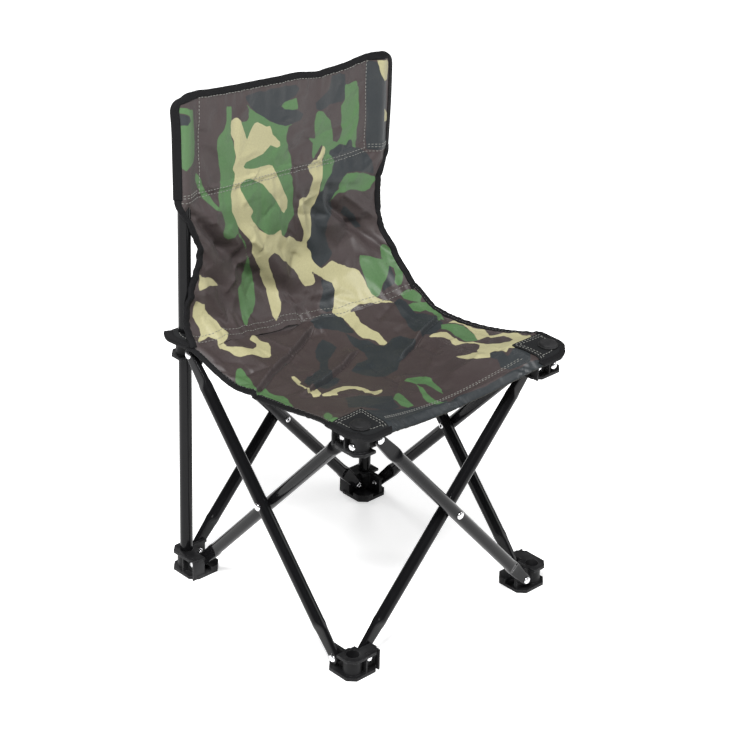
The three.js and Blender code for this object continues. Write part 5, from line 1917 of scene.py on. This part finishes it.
def tape_along(
    name: str,
    path: Array,
    normals: Array,
    inward: Array,
    width: float,
    height: float,
    finish: Finish,
    around: int = 14,
) -> bpy.types.Object:
    """Folds edge tape over an edge of the cloth.

    Args:
        name: The piece's name.
        path: The cloth's edge.
        normals: The cloth's normals along it.
        inward: Unit directions into the cloth along it.
        width: How far the tape reaches in from the edge.
        height: Half the tape's thickness over the cloth's middle.
        finish: The tape's finish.
        around: Points round its section.

    Returns:
        The piece.
    """
    turn = (np.arange(around) + 0.5) / around * FULL_TURN
    c, s = np.cos(turn), np.sin(turn)
    proud = 0.0010
    reach = proud + width
    x = reach / 2 * np.sign(c) * np.abs(c) ** 0.4 + reach / 2 - proud
    z = height * np.sign(s) * np.abs(s) ** 0.6
    rings = path[:, None] + x[None, :, None] * inward[:, None] + z[None, :, None] * normals[:, None]
    length = run_length(path)
    uv = np.stack(np.meshgrid(length, x, indexing="ij"), axis=-1)
    item = mesh_object(name, rings.reshape(-1, 3), tube_faces(len(path), around), [finish], uv=uv.reshape(-1, 2))
    return fix_normals(item)


@dataclass
class Stitching:
    """Rows of lock stitches, each a short rounded thread."""

    pitch: float = 0.0046
    stitch: float = 0.0034
    thread: float = 0.00042

    @staticmethod
    def lay(nodes: NodeBuilder, given: Sockets) -> Socket:
        """Lays a stitch at each point, along its tangent attribute."""
        bead = nodes.ball(6, 4, given["Thread radius"], given["Half length"])
        turn = nodes.facing("tangent")
        return nodes.add(
            "GeometryNodeInstanceOnPoints", {"Points": given["Geometry"], "Instance": bead, "Rotation": turn}
        ).outputs[0]

    def row(self, path: Array, normals: Array) -> tuple[Array, Array]:
        """Spaces stitches along a path.

        Args:
            path: Points along the row.
            normals: The cloth's normals there.

        Returns:
            The stitches' middles and directions.
        """
        length = run_length(path)
        count = max(int(length[-1] / self.pitch), 1)
        at = (np.arange(count) + 0.5) * length[-1] / count

        def read(values: Array, places: Array) -> Array:
            """Reads values along the path."""
            return np.stack([np.interp(places, length, values[:, k]) for k in range(3)], axis=-1)

        middle = read(path, at) + self.thread * 0.5 * read(normals, at)
        ahead = read(path, at + self.stitch / 2) - read(path, at - self.stitch / 2)
        return middle, ahead / np.maximum(np.linalg.norm(ahead, axis=-1, keepdims=True), 1e-9)

    def build(
        self, name: str, rows: Iterable[tuple[Array, Array]], finish: Thread = THREAD
    ) -> bpy.types.Object:
        """Makes one body's stitches from the paths and normals of its rows.

        Args:
            name: The piece's name.
            rows: A path and its normals for each row.
            finish: The thread's finish.

        Returns:
            The stitches, as one piece.
        """
        laid = [self.row(path, normals) for path, normals in rows]
        points = np.concatenate([p for p, _ in laid])
        tangents = np.concatenate([t for _, t in laid])
        item = mesh_object(name, points, [], [finish])
        item.data.attributes.new("tangent", "FLOAT_VECTOR", "POINT").data.foreach_set("vector", tangents.ravel())
        sizes = {"Half length": self.stitch / 2, "Thread radius": self.thread}
        tree = geometry_tree("stitch rows", list(sizes), self.lay)
        return run_tree(item, tree, {**sizes, "Finish": finish.material()})


@dataclass(frozen=True)
class Crumple:
    """An axis, an anchor and a share for a soft piece; applying it only gives the piece its own copy of its mesh."""

    axis: Point
    anchor: Point
    keep: float

    def apply(self, item: bpy.types.Object) -> None:
        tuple(self.axis)
        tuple(self.anchor)
        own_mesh(item)

    @staticmethod
    def of_side(side: Side) -> "Crumple":
        """An axis along one side of the seat and an anchor level with the side's first corner.

        Args:
            side: The side of the seat.

        Returns:
            The side's axis, anchor and share.
        """
        place = SIZES.half_pitch
        anchor, axis = {
            Side.FRONT: ((-place, 0, 0), (1, 0, 0)), Side.LEFT: ((0, -place, 0), (0, 1, 0)),
            Side.REAR: ((place, 0, 0), (1, 0, 0)), Side.RIGHT: ((0, place, 0), (0, 1, 0)),
        }[side]
        return Crumple(axis, anchor, 0.18)

    @staticmethod
    def of_back() -> "Crumple":
        """An axis across the back and an anchor level with the right post."""
        return Crumple((1, 0, 0), (-SIZES.post_place, 0, 0), 0.18)


@dataclass
class SeatCloth:
    """The seat: four edge strips and four panels cut from one settled sheet, with tape and stitches."""

    form: SeatForm
    columns: int = 200
    hem_rows: int = 28
    panel_rows: int = 88
    path_steps: int = 150
    tape_width: float = 0.0070
    tape_height: float = 0.0018
    tape_stitch_inset: float = 0.0052
    hem_stitch_insets: tuple[float, float] = (0.0225, 0.0255)
    strip_width: float = 0.038
    strip_area: float = 0.0098
    quarter_flat: tuple[float, float] = (0.29, 0.14)
    quarter_area: float = 0.0202
    stitches: Stitching = field(default_factory=Stitching)

    def border(self, c: Array) -> Array:
        """The share at which the panels meet the edge strips."""
        sunk = SeatForm.hang(c * CLOTH.hinge_place / CLOTH.half)
        return CLOTH.hinge_place / (CLOTH.half - CLOTH.pull * sunk)

    def patch_of(self, side: Side, name: str, low: Callable, high: Callable, rows: int) -> bpy.types.Object:
        """Cuts one piece between two borders.

        Args:
            side: The side of the seat.
            name: The piece's name.
            low: The inner border's share at each place along the side.
            high: The outer border's share there.
            rows: Faces between the borders.

        Returns:
            The piece.
        """
        c, share = np.meshgrid(np.linspace(-1, 1, self.columns + 1), np.linspace(1, 0, rows + 1), indexing="ij")
        t = low(c) + (high(c) - low(c)) * share
        u, v = self.form.place(side, c, t)
        top, normals = self.form.grid.at(u, v), self.form.grid.normal_at(u, v)
        return closed_sheet(name, top, normals, CLOTH.thickness, self.form.chart(u, v), (PRINTED, REVERSE))

    def edge_paths(self, side: Side, inset: float, reach: float = 1.0) -> tuple[Array, Array]:
        """A line along a side at a distance in from its edge, with its normals."""
        c = np.linspace(-reach, reach, self.path_steps + 1)
        u, v = self.form.place(side, c, np.full_like(c, 1 - inset / CLOTH.half))
        return self.form.grid.at(u, v), self.form.grid.normal_at(u, v)

    def dress(self) -> None:
        """Makes the seat's pieces."""
        for side in Side:
            corner = Corner(side.value)
            crumple = Crumple.of_side(side)
            hem = self.patch_of(side, f"{side.word}_seat_strip", self.border, np.ones_like, self.hem_rows)
            stands_for(hem, f"{corner.word}_hub", PRINTED, f"{side.word}_seat_hem")
            crumple.apply(hem)
            name = f"{side.word}_seat_cloth"
            panel = self.patch_of(side, name, lambda c: np.full_like(c, 0.001), self.border, self.panel_rows)
            stands_for(panel, f"{side.word}_panel", PRINTED, f"{side.word}_seat_panel")
            crumple.apply(panel)
            self.trim(side, corner, crumple)

    def trim(self, side: Side, corner: Corner, crumple: Crumple) -> None:
        """Adds one side's stitches, and tape where the edge is bound and not hemmed.

        Args:
            side: The side of the seat.
            corner: The corner whose hub carries it.
            crumple: The crumple applied to its pieces, which gives each its own mesh.
        """
        rows = []
        if side in (Side.LEFT, Side.RIGHT):
            path, normals = self.edge_paths(side, 0.0)
            inner, _ = self.edge_paths(side, 0.006)
            inward = unit(inner - path)
            middle = path - normals * CLOTH.thickness / 2
            name = f"{side.word}_seat_tape"
            tape = tape_along(name, middle, normals, inward, self.tape_width, self.tape_height, TAPE)
            stands_for(tape, f"{corner.word}_hub", TAPE)
            crumple.apply(tape)
            line, line_normals = self.edge_paths(side, self.tape_stitch_inset, 0.86)
            rows.append((line + line_normals * 0.0009, line_normals))
        else:
            rows.extend(self.edge_paths(side, inset, 0.74) for inset in self.hem_stitch_insets)
        finish = TAPE_THREAD if side in (Side.LEFT, Side.RIGHT) else THREAD
        thread = self.stitches.build(f"{side.word}_seat_stitches", rows, finish)
        stands_for(thread, f"{corner.word}_hub", finish)
        crumple.apply(thread)


@dataclass
class CornerPatches:
    """Black cloth squares sewn over the corners, and the domed buttons on the front two."""

    form: SeatForm
    steps: int = 36
    thickness: float = 0.0016
    lift: float = 0.0019
    rim_width: float = 0.0068
    rim_height: float = 0.0030
    rim_lift: float = 0.0002
    post_rim: float = 0.0045
    line_steps: int = 40
    stitch_rows: Table = ((0.06, 0.06, 0.86), (0.14, 0.14, 0.86), (0.80, 0.14, 0.80))
    button_height: float = 0.0062
    shank_radius: float = 0.0078
    dome_height: float = 0.0040
    dome_inset: float = 0.0013
    dome_steps: int = 12
    around: int = 48
    sharp_over: float = 40
    stitches: Stitching = field(default_factory=Stitching)

    def surface(self, corner: Corner, a: Array, b: Array) -> tuple[Array, Array]:
        """The patch's top at shares from its inner edges to the seat's edges.

        Args:
            corner: The patch's corner.
            a: Shares along X, 0 at the inner edge.
            b: Shares along Y.

        Returns:
            Points on the patch and its normals.
        """
        inner = 1 - CLOTH.patch_size / CLOTH.half
        s, t = inner + (1 - inner) * a, inner + (1 - inner) * b
        out = np.maximum(s, t)
        ease = smooth_step(0.6, 1.0, out)
        shrink = 1 - (1 - rounded_share(np.minimum(s, t) / out)) * ease
        s, t = s * shrink, t * shrink
        sign_x, sign_y = corner.signs
        u, v = (sign_x * s + 1) / 2, (sign_y * t + 1) / 2
        normals = self.form.grid.normal_at(u, v)
        return self.form.grid.at(u, v) + normals * self.lift, normals

    def dress(self) -> None:
        """Makes the patches and the buttons."""
        for corner in Corner:
            a, b = share_grid(self.steps, self.steps)
            if corner in (Corner.FRONT_LEFT, Corner.REAR_RIGHT):
                a, b = b, a
            top, normals = self.surface(corner, a, b)
            if np.dot(np.cross(top[1, 0] - top[0, 0], top[0, 1] - top[0, 0]), normals[0, 0]) < 0:
                top, normals, a, b = top[::-1], normals[::-1], a[::-1], b[::-1]
            chart = np.stack([a, b], axis=-1) * CLOTH.patch_size
            item = closed_sheet(
                f"{corner.word}_corner_patch", top, normals, self.thickness, chart, (PATCH, PATCH), printed=False
            )
            stands_for(item, f"{corner.word}_hub", PATCH, f"{corner.word}_patch")
            self.rim(corner)
            rows = []
            for place, low, high in self.stitch_rows:
                line = np.linspace(low, high, self.line_steps)
                level = np.full_like(line, place)
                rows.extend(self.surface(corner, *path) for path in ((line, level), (level, line)))
            thread = self.stitches.build(f"{corner.word}_patch_stitches", rows)
            stands_for(thread, f"{corner.word}_hub", THREAD)
            if corner not in REAR_CORNERS:
                self.button(corner)

    def rim(self, corner: Corner) -> None:
        """Binds the seat's rounded corner with tape over the cloth and the patch.

        Args:
            corner: The corner.
        """
        reach = 1 - CLOTH.patch_size / CLOTH.half
        before, after = Side((corner.value - 1) % 4), Side(corner.value)

        def line(inset: float) -> tuple[Array, Array]:
            """The bound edge, at a distance in."""
            parts = []
            steps = self.line_steps
            for side, c in ((before, np.linspace(reach, 1, steps)), (after, np.linspace(-1, -reach, steps)[1:])):
                parts.append(self.form.place(side, c, np.full_like(c, 1 - inset / CLOTH.half)))
            u, v = (np.concatenate([part[k] for part in parts]) for k in (0, 1))
            return self.form.grid.at(u, v), self.form.grid.normal_at(u, v)

        path, normals = line(0.0)
        inner, _ = line(0.006)
        inward = unit(inner - path)
        proud = self.post_rim if corner is Corner.REAR_RIGHT else 0.0
        path = path - proud * np.sin(np.linspace(0, math.pi, len(path)))[:, None] * inward
        name, width = f"{corner.word}_patch_rim", self.rim_width + proud
        item = tape_along(name, path + normals * self.rim_lift, normals, inward, width, self.rim_height, TAPE)
        stands_for(item, f"{corner.word}_hub", TAPE)

    def button(self, corner: Corner) -> None:
        """Turns a domed button with a thin rim over its shank.

        Args:
            corner: The corner.
        """
        low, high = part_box(f"{corner.word}_button")
        centre_x, centre_y = (low.x + high.x) / 2, (low.y + high.y) / 2
        radius = (high.x - low.x) / 2
        rim = high.z - self.button_height
        dome, shank = radius - self.dome_inset, self.shank_radius
        profile = [
            (0.0, low.z), (shank, low.z), (shank, rim), (radius - 0.0004, rim), (radius, rim + 0.0004),
            (radius, rim + 0.0014), (radius - 0.0005, rim + 0.0019), (dome, rim + 0.0020),
        ]
        for step in range(1, self.dome_steps + 1):
            turn = step / self.dome_steps * QUARTER_TURN
            profile.append((dome * math.cos(turn), rim + 0.0022 + self.dome_height * math.sin(turn)))
        around = self.around
        points = [
            (centre_x + r * math.cos(FULL_TURN * i / around), centre_y + r * math.sin(FULL_TURN * i / around), z)
            for r, z in profile for i in range(around)
        ]
        faces = tube_faces(len(profile), around)
        item = mesh_object(f"{corner.word}_domed_button", np.array(points), faces, [BUTTON])
        merge_close(item)
        sharpen(fix_normals(item), self.sharp_over)
        stands_for(item, f"{corner.word}_hub", BUTTON, f"{corner.word}_button")


@dataclass
class BackCloth:
    """The back: two sleeves, the doubled top between them and the single cloth down to the seat."""

    form: BackForm
    upper_counts: tuple[int, int] = (140, 70)
    lower_counts: tuple[int, int] = (170, 110)
    sleeve_counts: tuple[int, int] = (60, 26)
    hollow_gap: float = 0.0006
    sharp_over: float = 60
    sleeve_stitch_inset: float = 0.012
    tape_width: float = 0.0076
    tape_proud: float = 0.0009
    stitches: Stitching = field(default_factory=Stitching)

    def c_at(self, x: float) -> float:
        """The share across the sheet of a place on its upper part."""
        return x / CLOTH.back_half

    def cut(self, name: str, c_low: float, c_high: float, w_low: float, w_high: float, counts: tuple[int, int],
            thickness: float, finishes: tuple[Finish, Finish]) -> bpy.types.Object:
        """Cuts one piece from the settled sheet.

        Args:
            name: The piece's name.
            c_low: Its border towards the sitter's right.
            c_high: Its border towards the left.
            w_low: Its upper border.
            w_high: Its lower border.
            counts: Faces across and down.
            thickness: The cloth's thickness.
            finishes: The finishes of its front and its back.

        Returns:
            The piece.
        """
        across, down = np.linspace(c_low, c_high, counts[0] + 1), np.linspace(w_high, w_low, counts[1] + 1)
        c, w = np.meshgrid(across, down, indexing="ij")
        u = (c + 1) / 2
        top, normals = self.form.grid.at(u, w), -self.form.grid.normal_at(u, w)
        facing = np.sign(-normals[..., 1].mean())
        return closed_sheet(name, top, normals * facing, thickness, self.form.chart(u, w), finishes)

    def line(self, c: Array, w: Array) -> tuple[Array, Array]:
        """Points and outward normals along a line on the sheet."""
        u = (c + 1) / 2
        normals = self.form.grid.normal_at(u, w)
        normals = np.where(normals[..., 1:2] > 0, -normals, normals)
        return self.form.grid.at(u, w), normals

    def dress(self) -> None:
        """Makes the back's pieces."""
        inner = self.c_at(CLOTH.sleeve_inner)
        seam = self.form.seam_share
        crumple = Crumple.of_back()
        thickness = CLOTH.back_thickness
        upper = self.cut("upper_back", -inner, inner, 0, seam, self.upper_counts, thickness, (PRINTED, PRINTED))
        stands_for(upper, "rear_right_foot", PRINTED, "upper_back_cloth")
        crumple.apply(upper)
        lower = self.cut("lower_back", -1, 1, seam, 1, self.lower_counts, CLOTH.thickness, (PRINTED, REVERSE))
        stands_for(lower, "rear_right_hub", PRINTED, "lower_back_cloth")
        crumple.apply(lower)
        for corner in REAR_CORNERS:
            self.sleeve(corner, inner)
        self.trim(inner, crumple)

    def sleeve(self, corner: Corner, inner: float) -> None:
        """Wraps a sleeve round a post: one loop of cloth, flat at both edges and open below.

        Args:
            corner: The corner in which the post stands.
            inner: The share across at which the sleeve starts.
        """
        side = corner.signs[0]
        place, hollow = SIZES.post_place, SIZES.tube_radius + self.hollow_gap
        rows, steps = self.sleeve_counts
        down, share = np.linspace(self.form.seam_share, 0, rows + 1), np.linspace(0, 1, steps + 1)
        w, c = np.meshgrid(down, inner + (1 - inner) * share, indexing="ij")
        u = (side * c + 1) / 2
        front = self.form.grid.at(u, w)
        x, z, rise = self.form.upper(side * c, w)
        behind = np.stack([x, place + rise, z], axis=-1)[:, ::-1]
        loop = np.concatenate([front, behind[:, 1:]], axis=1)
        front_chart = self.form.chart(u, w)
        unrolled = front_chart[:, ::-1].copy()
        unrolled[..., 0] = 2 * front_chart[:, -1:, 0] - unrolled[..., 0]
        chart = np.concatenate([front_chart, unrolled[:, 1:]], axis=1)
        angles = np.arctan2(loop[..., 1] - place, side * loop[..., 0] - place)
        hole = np.stack([
            side * (place + hollow * np.cos(angles)), place + hollow * np.sin(angles),
            np.minimum(loop[..., 2], self.form.post_top + 0.002),
        ], axis=-1)
        count = loop.shape[1]
        points = np.concatenate([loop.reshape(-1, 3), hole.reshape(-1, 3)])
        faces, kinds = [], []
        offset = (rows + 1) * count
        for r in range(rows):
            for i in range(count):
                a, b = r * count + i, r * count + (i + 1) % count
                d = a + count
                e = b + count
                faces.append((a, b, e, d))
                faces.append((d + offset, e + offset, b + offset, a + offset))
                kinds.extend((0, 1))
        last = rows * count
        for i in range(count):
            j = (i + 1) % count
            faces.append((j, i, i + offset, j + offset))
            faces.append((last + i, last + j, last + j + offset, last + i + offset))
            kinds.extend((0, 0))
        chart = np.tile(chart.reshape(-1, 2), (2, 1))
        name = f"{'left' if side > 0 else 'right'}_back_sleeve"
        item = mesh_object(
            f"{name}_cloth", points, faces, [PRINTED, REVERSE], uv=chart, face_finish=kinds,
            layers=LAYOUT.layers(chart),
        )
        sharpen(fix_normals(item), self.sharp_over)
        stands_for(item, f"{corner.word}_foot", PRINTED, name)
        across = side * np.linspace(inner + 0.01, 0.955, 30)
        ends = [self.line(across, np.full_like(across, self.form.seam_share - level)) for level in (0.010, 0.022)]
        thread = self.stitches.build(f"{name}_stitches", ends)
        stands_for(thread, f"{corner.word}_foot", THREAD)

    def trim(self, inner: float, crumple: Crumple) -> None:
        """Adds tape round the edges and stitches along the seams.

        Args:
            inner: The share across at which the sleeves start.
            crumple: The crumple applied to the pieces, which gives each its own mesh.
        """
        seam = self.form.seam_share
        for corner in REAR_CORNERS:
            side = corner.signs[0]
            w = np.linspace(seam, 1, 110)
            path, normals = self.line(np.full_like(w, side), w)
            inside, _ = self.line(np.full_like(w, side * 0.97), w)
            name = f"{corner.word}_lower_back_tape"
            self.tape(name, path, normals, inside, "rear_right_hub", CLOTH.thickness, crumple)
            self.sleeve_tape(corner, inner)
        c = np.linspace(-inner, inner, 120)
        path, normals = self.line(c, np.zeros_like(c))
        inside, _ = self.line(c, np.full_like(c, 0.03))
        self.tape("upper_back_tape", path, normals, inside, "rear_right_foot", CLOTH.back_thickness, crumple)
        self.sew(inner, crumple)

    def sleeve_tape(self, corner: Corner, inner: float) -> None:
        """Folds tape over a sleeve's outer edge and over its top, close on both faces of the sleeve.

        Args:
            corner: The corner in which the post stands.
            inner: The share across at which the sleeve starts.
        """
        down = np.concatenate([np.linspace(self.form.seam_share, 0.09, 50, endpoint=False), np.linspace(0.09, 0, 40)])
        down = np.concatenate([down, np.zeros(24)])
        c = np.concatenate([np.ones(90), np.linspace(1, inner, 25)[1:]])
        reach = np.linspace(0, 1, 6)
        in_c = 0.043 * smooth_step(0.90, 1.0, c)
        in_w = 0.0253 * (1 - smooth_step(0.0, 0.08, down))
        across, along = c[:, None] - in_c[:, None] * reach, down[:, None] + in_w[:, None] * reach
        x, z, rise = self.form.upper(corner.signs[0] * across, along)
        proud = self.tape_proud
        outward = np.stack([x[:, 0] - x[:, -1], z[:, 0] - z[:, -1]], axis=-1)
        outward *= proud / np.linalg.norm(outward, axis=-1, keepdims=True)
        flat = np.zeros_like(x)
        front = np.stack([x, flat + SIZES.post_place - rise - proud, z], axis=-1)[:, ::-1]
        behind = np.stack([x, flat + SIZES.post_place + rise + proud, z], axis=-1)
        edge = np.stack([x[:, 0] + outward[:, 0], flat[:, 0] + SIZES.post_place, z[:, 0] + outward[:, 1]], axis=-1)
        notch = np.stack([x[:, 3], flat[:, 0] + SIZES.post_place, z[:, 3]], axis=-1)
        rings = np.concatenate([front, edge[:, None], behind, notch[:, None]], axis=1)
        around = rings.shape[1]
        uv = np.stack(np.meshgrid(run_length(edge), run_length(rings[0]), indexing="ij"), axis=-1)
        item = mesh_object(
            f"{corner.word}_sleeve_tape", rings.reshape(-1, 3), tube_faces(len(rings), around), [TAPE],
            uv=uv.reshape(-1, 2),
        )
        stands_for(fix_normals(item), f"{corner.word}_foot", TAPE)

    def tape(self, name: str, path: Array, normals: Array, inside: Array, body: str, thickness: float,
             crumple: Crumple) -> None:
        """Folds one length of tape over an edge.

        Args:
            name: The piece's name.
            path: The cloth's edge.
            normals: The cloth's normals along it.
            inside: A line farther in on the cloth.
            body: The body that carries it.
            thickness: The cloth's thickness.
            crumple: The crumple applied to the piece, which gives it its own mesh.
        """
        inward = unit(inside - path)
        height = max(thickness / 2, 0.0015) + 0.0008
        item = tape_along(name, path - normals * thickness / 2, normals, inward, self.tape_width, height, TAPE)
        stands_for(item, body, TAPE)
        crumple.apply(item)

    def sew(self, inner: float, crumple: Crumple) -> None:
        """Sews the sleeves' seams, the cross seam, the seam with the seat and the tape.

        Args:
            inner: The share across at which the sleeves start.
            crumple: The crumple applied to the stitches, which gives them their own mesh.
        """
        seam = self.form.seam_share
        w = np.linspace(0.02, seam, 60)
        inset = inner - self.sleeve_stitch_inset
        upper_rows = [self.line(np.full_like(w, side * inset), w) for side in (-1, 1)]
        c = np.linspace(-inner, inner, 100)
        upper_rows.append(self.line(c, np.full_like(c, seam - 0.008)))
        path, normals = self.line(c, np.full_like(c, 0.024))
        upper_rows.append((path + 0.0008 * normals, normals))
        thread = self.stitches.build("upper_back_stitches", upper_rows)
        stands_for(thread, "rear_right_foot", THREAD)
        crumple.apply(thread)
        c = np.linspace(-0.99, 0.99, 140)
        lower_rows = [self.line(c, np.full_like(c, level)) for level in (seam + 0.010, 0.985, 0.968)]
        thread = self.stitches.build("lower_back_stitches", lower_rows)
        stands_for(thread, "rear_right_hub", THREAD)
        crumple.apply(thread)


# Studio


@dataclass
class Studio:
    """The camera as the photograph was taken, soft light and a pale floor."""

    azimuth: float = -44.12
    elevation: float = 27.54
    roll: float = 1.92
    distance: float = 2.919
    focal_pixels: float = 2321.0
    centre: tuple[float, float] = (358.3, 574.2)
    image: int = 732
    sensor: float = 36.0
    surround: float = 0.32
    mirrored: float = 0.09
    aim: Point = (0.0, 0.0, 0.3)
    floor_half: float = 6.0
    floor_drop: float = 0.0004
    lamps: tuple[tuple[str, Point, float, float], ...] = (
        ("key light", (-1.4, -1.0, 2.7), 0.8, 140.0),
        ("fill light", (2.2, -1.6, 1.6), 1.4, 26.0),
        ("rim light", (0.4, 2.5, 2.1), 1.5, 34.0),
    )

    def axes(self) -> tuple[Vector, Vector, Vector]:
        """The camera's right, up and back directions."""
        az, el, roll = (math.radians(v) for v in (self.azimuth, self.elevation, self.roll))
        back = Vector((math.sin(az) * math.cos(el), -math.cos(az) * math.cos(el), math.sin(el)))
        right = Vector((math.cos(az), math.sin(az), 0))
        up = back.cross(right)
        turned_right = right * math.cos(roll) + up * math.sin(roll)
        turned_up = -right * math.sin(roll) + up * math.cos(roll)
        return turned_right, turned_up, back

    def camera(self) -> None:
        """Places the camera."""
        right, up, back = self.axes()
        half = self.image / 2
        reach = self.distance / self.focal_pixels
        place = back * self.distance - right * (self.centre[0] - half) * reach + up * (self.centre[1] - half) * reach
        data = bpy.data.cameras.new("camera")
        data.sensor_width = self.sensor
        data.lens = self.focal_pixels * self.sensor / self.image
        item = bpy.data.objects.new("camera", data)
        turn = Matrix((right, up, back)).transposed().to_4x4()
        item.matrix_world = Matrix.Translation(place) @ turn
        bpy.context.scene.collection.objects.link(item)
        bpy.context.scene.camera = item

    def light(self, name: str, place: Point, size: float, power: float) -> None:
        """Adds a soft square light.

        Args:
            name: The lamp's name.
            place: Where it hangs.
            size: Its side, in metres.
            power: Its power, in watts.
        """
        data = bpy.data.lights.new(name, "AREA")
        data.shape = "SQUARE"
        data.size = size
        data.energy = power
        item = bpy.data.objects.new(name, data)
        item.location = place
        item.rotation_euler = (Vector(place) - Vector(self.aim)).to_track_quat("Z", "Y").to_euler()
        bpy.context.scene.collection.objects.link(item)

    def set_up(self) -> None:
        """Makes the lights, the world and the floor."""
        self.camera()
        for name, place, size, power in self.lamps:
            self.light(name, place, size, power)
        world = bpy.data.worlds.new("studio")
        world.use_nodes = True
        nodes = NodeBuilder(world.node_tree)
        path = nodes.add("ShaderNodeLightPath")
        mirrored = nodes.math("MULTIPLY", path.outputs["Is Glossy Ray"], self.mirrored - self.surround)
        around = nodes.math("ADD", self.surround, mirrored)
        seen = path.outputs["Is Camera Ray"]
        strength = nodes.math("ADD", around, nodes.math("MULTIPLY", seen, 1.0 - self.surround))
        background = world.node_tree.nodes["Background"]
        background.inputs["Color"].default_value = (1, 1, 1, 1)
        world.node_tree.links.new(strength, background.inputs["Strength"])
        bpy.context.scene.world = world
        bpy.context.scene.view_settings.view_transform = "Standard"
        half, low = self.floor_half, -self.floor_drop
        points = np.array([(-half, -half, low), (half, -half, low), (half, half, low), (-half, half, low)])
        floor = mesh_object("floor", points, [(0, 1, 2, 3)], [FLOOR])


def main() -> None:
    """Builds the studio and dresses the chair."""
    logging.basicConfig(level=logging.INFO, format="%(message)s")
    Studio().set_up()
    seat = SeatForm()
    seat.build()
    back = BackForm(post_top=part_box("rear_left_post_plug")[1].z)
    back.build(seat.grid)
    LegTubes().dress()
    BackPosts().dress()
    Mouldings().dress()
    Rivets().dress()
    SeatCloth(seat).dress()
    CornerPatches(seat).dress()
    BackCloth(back).dress()


if __name__ == "__main__":
    main()
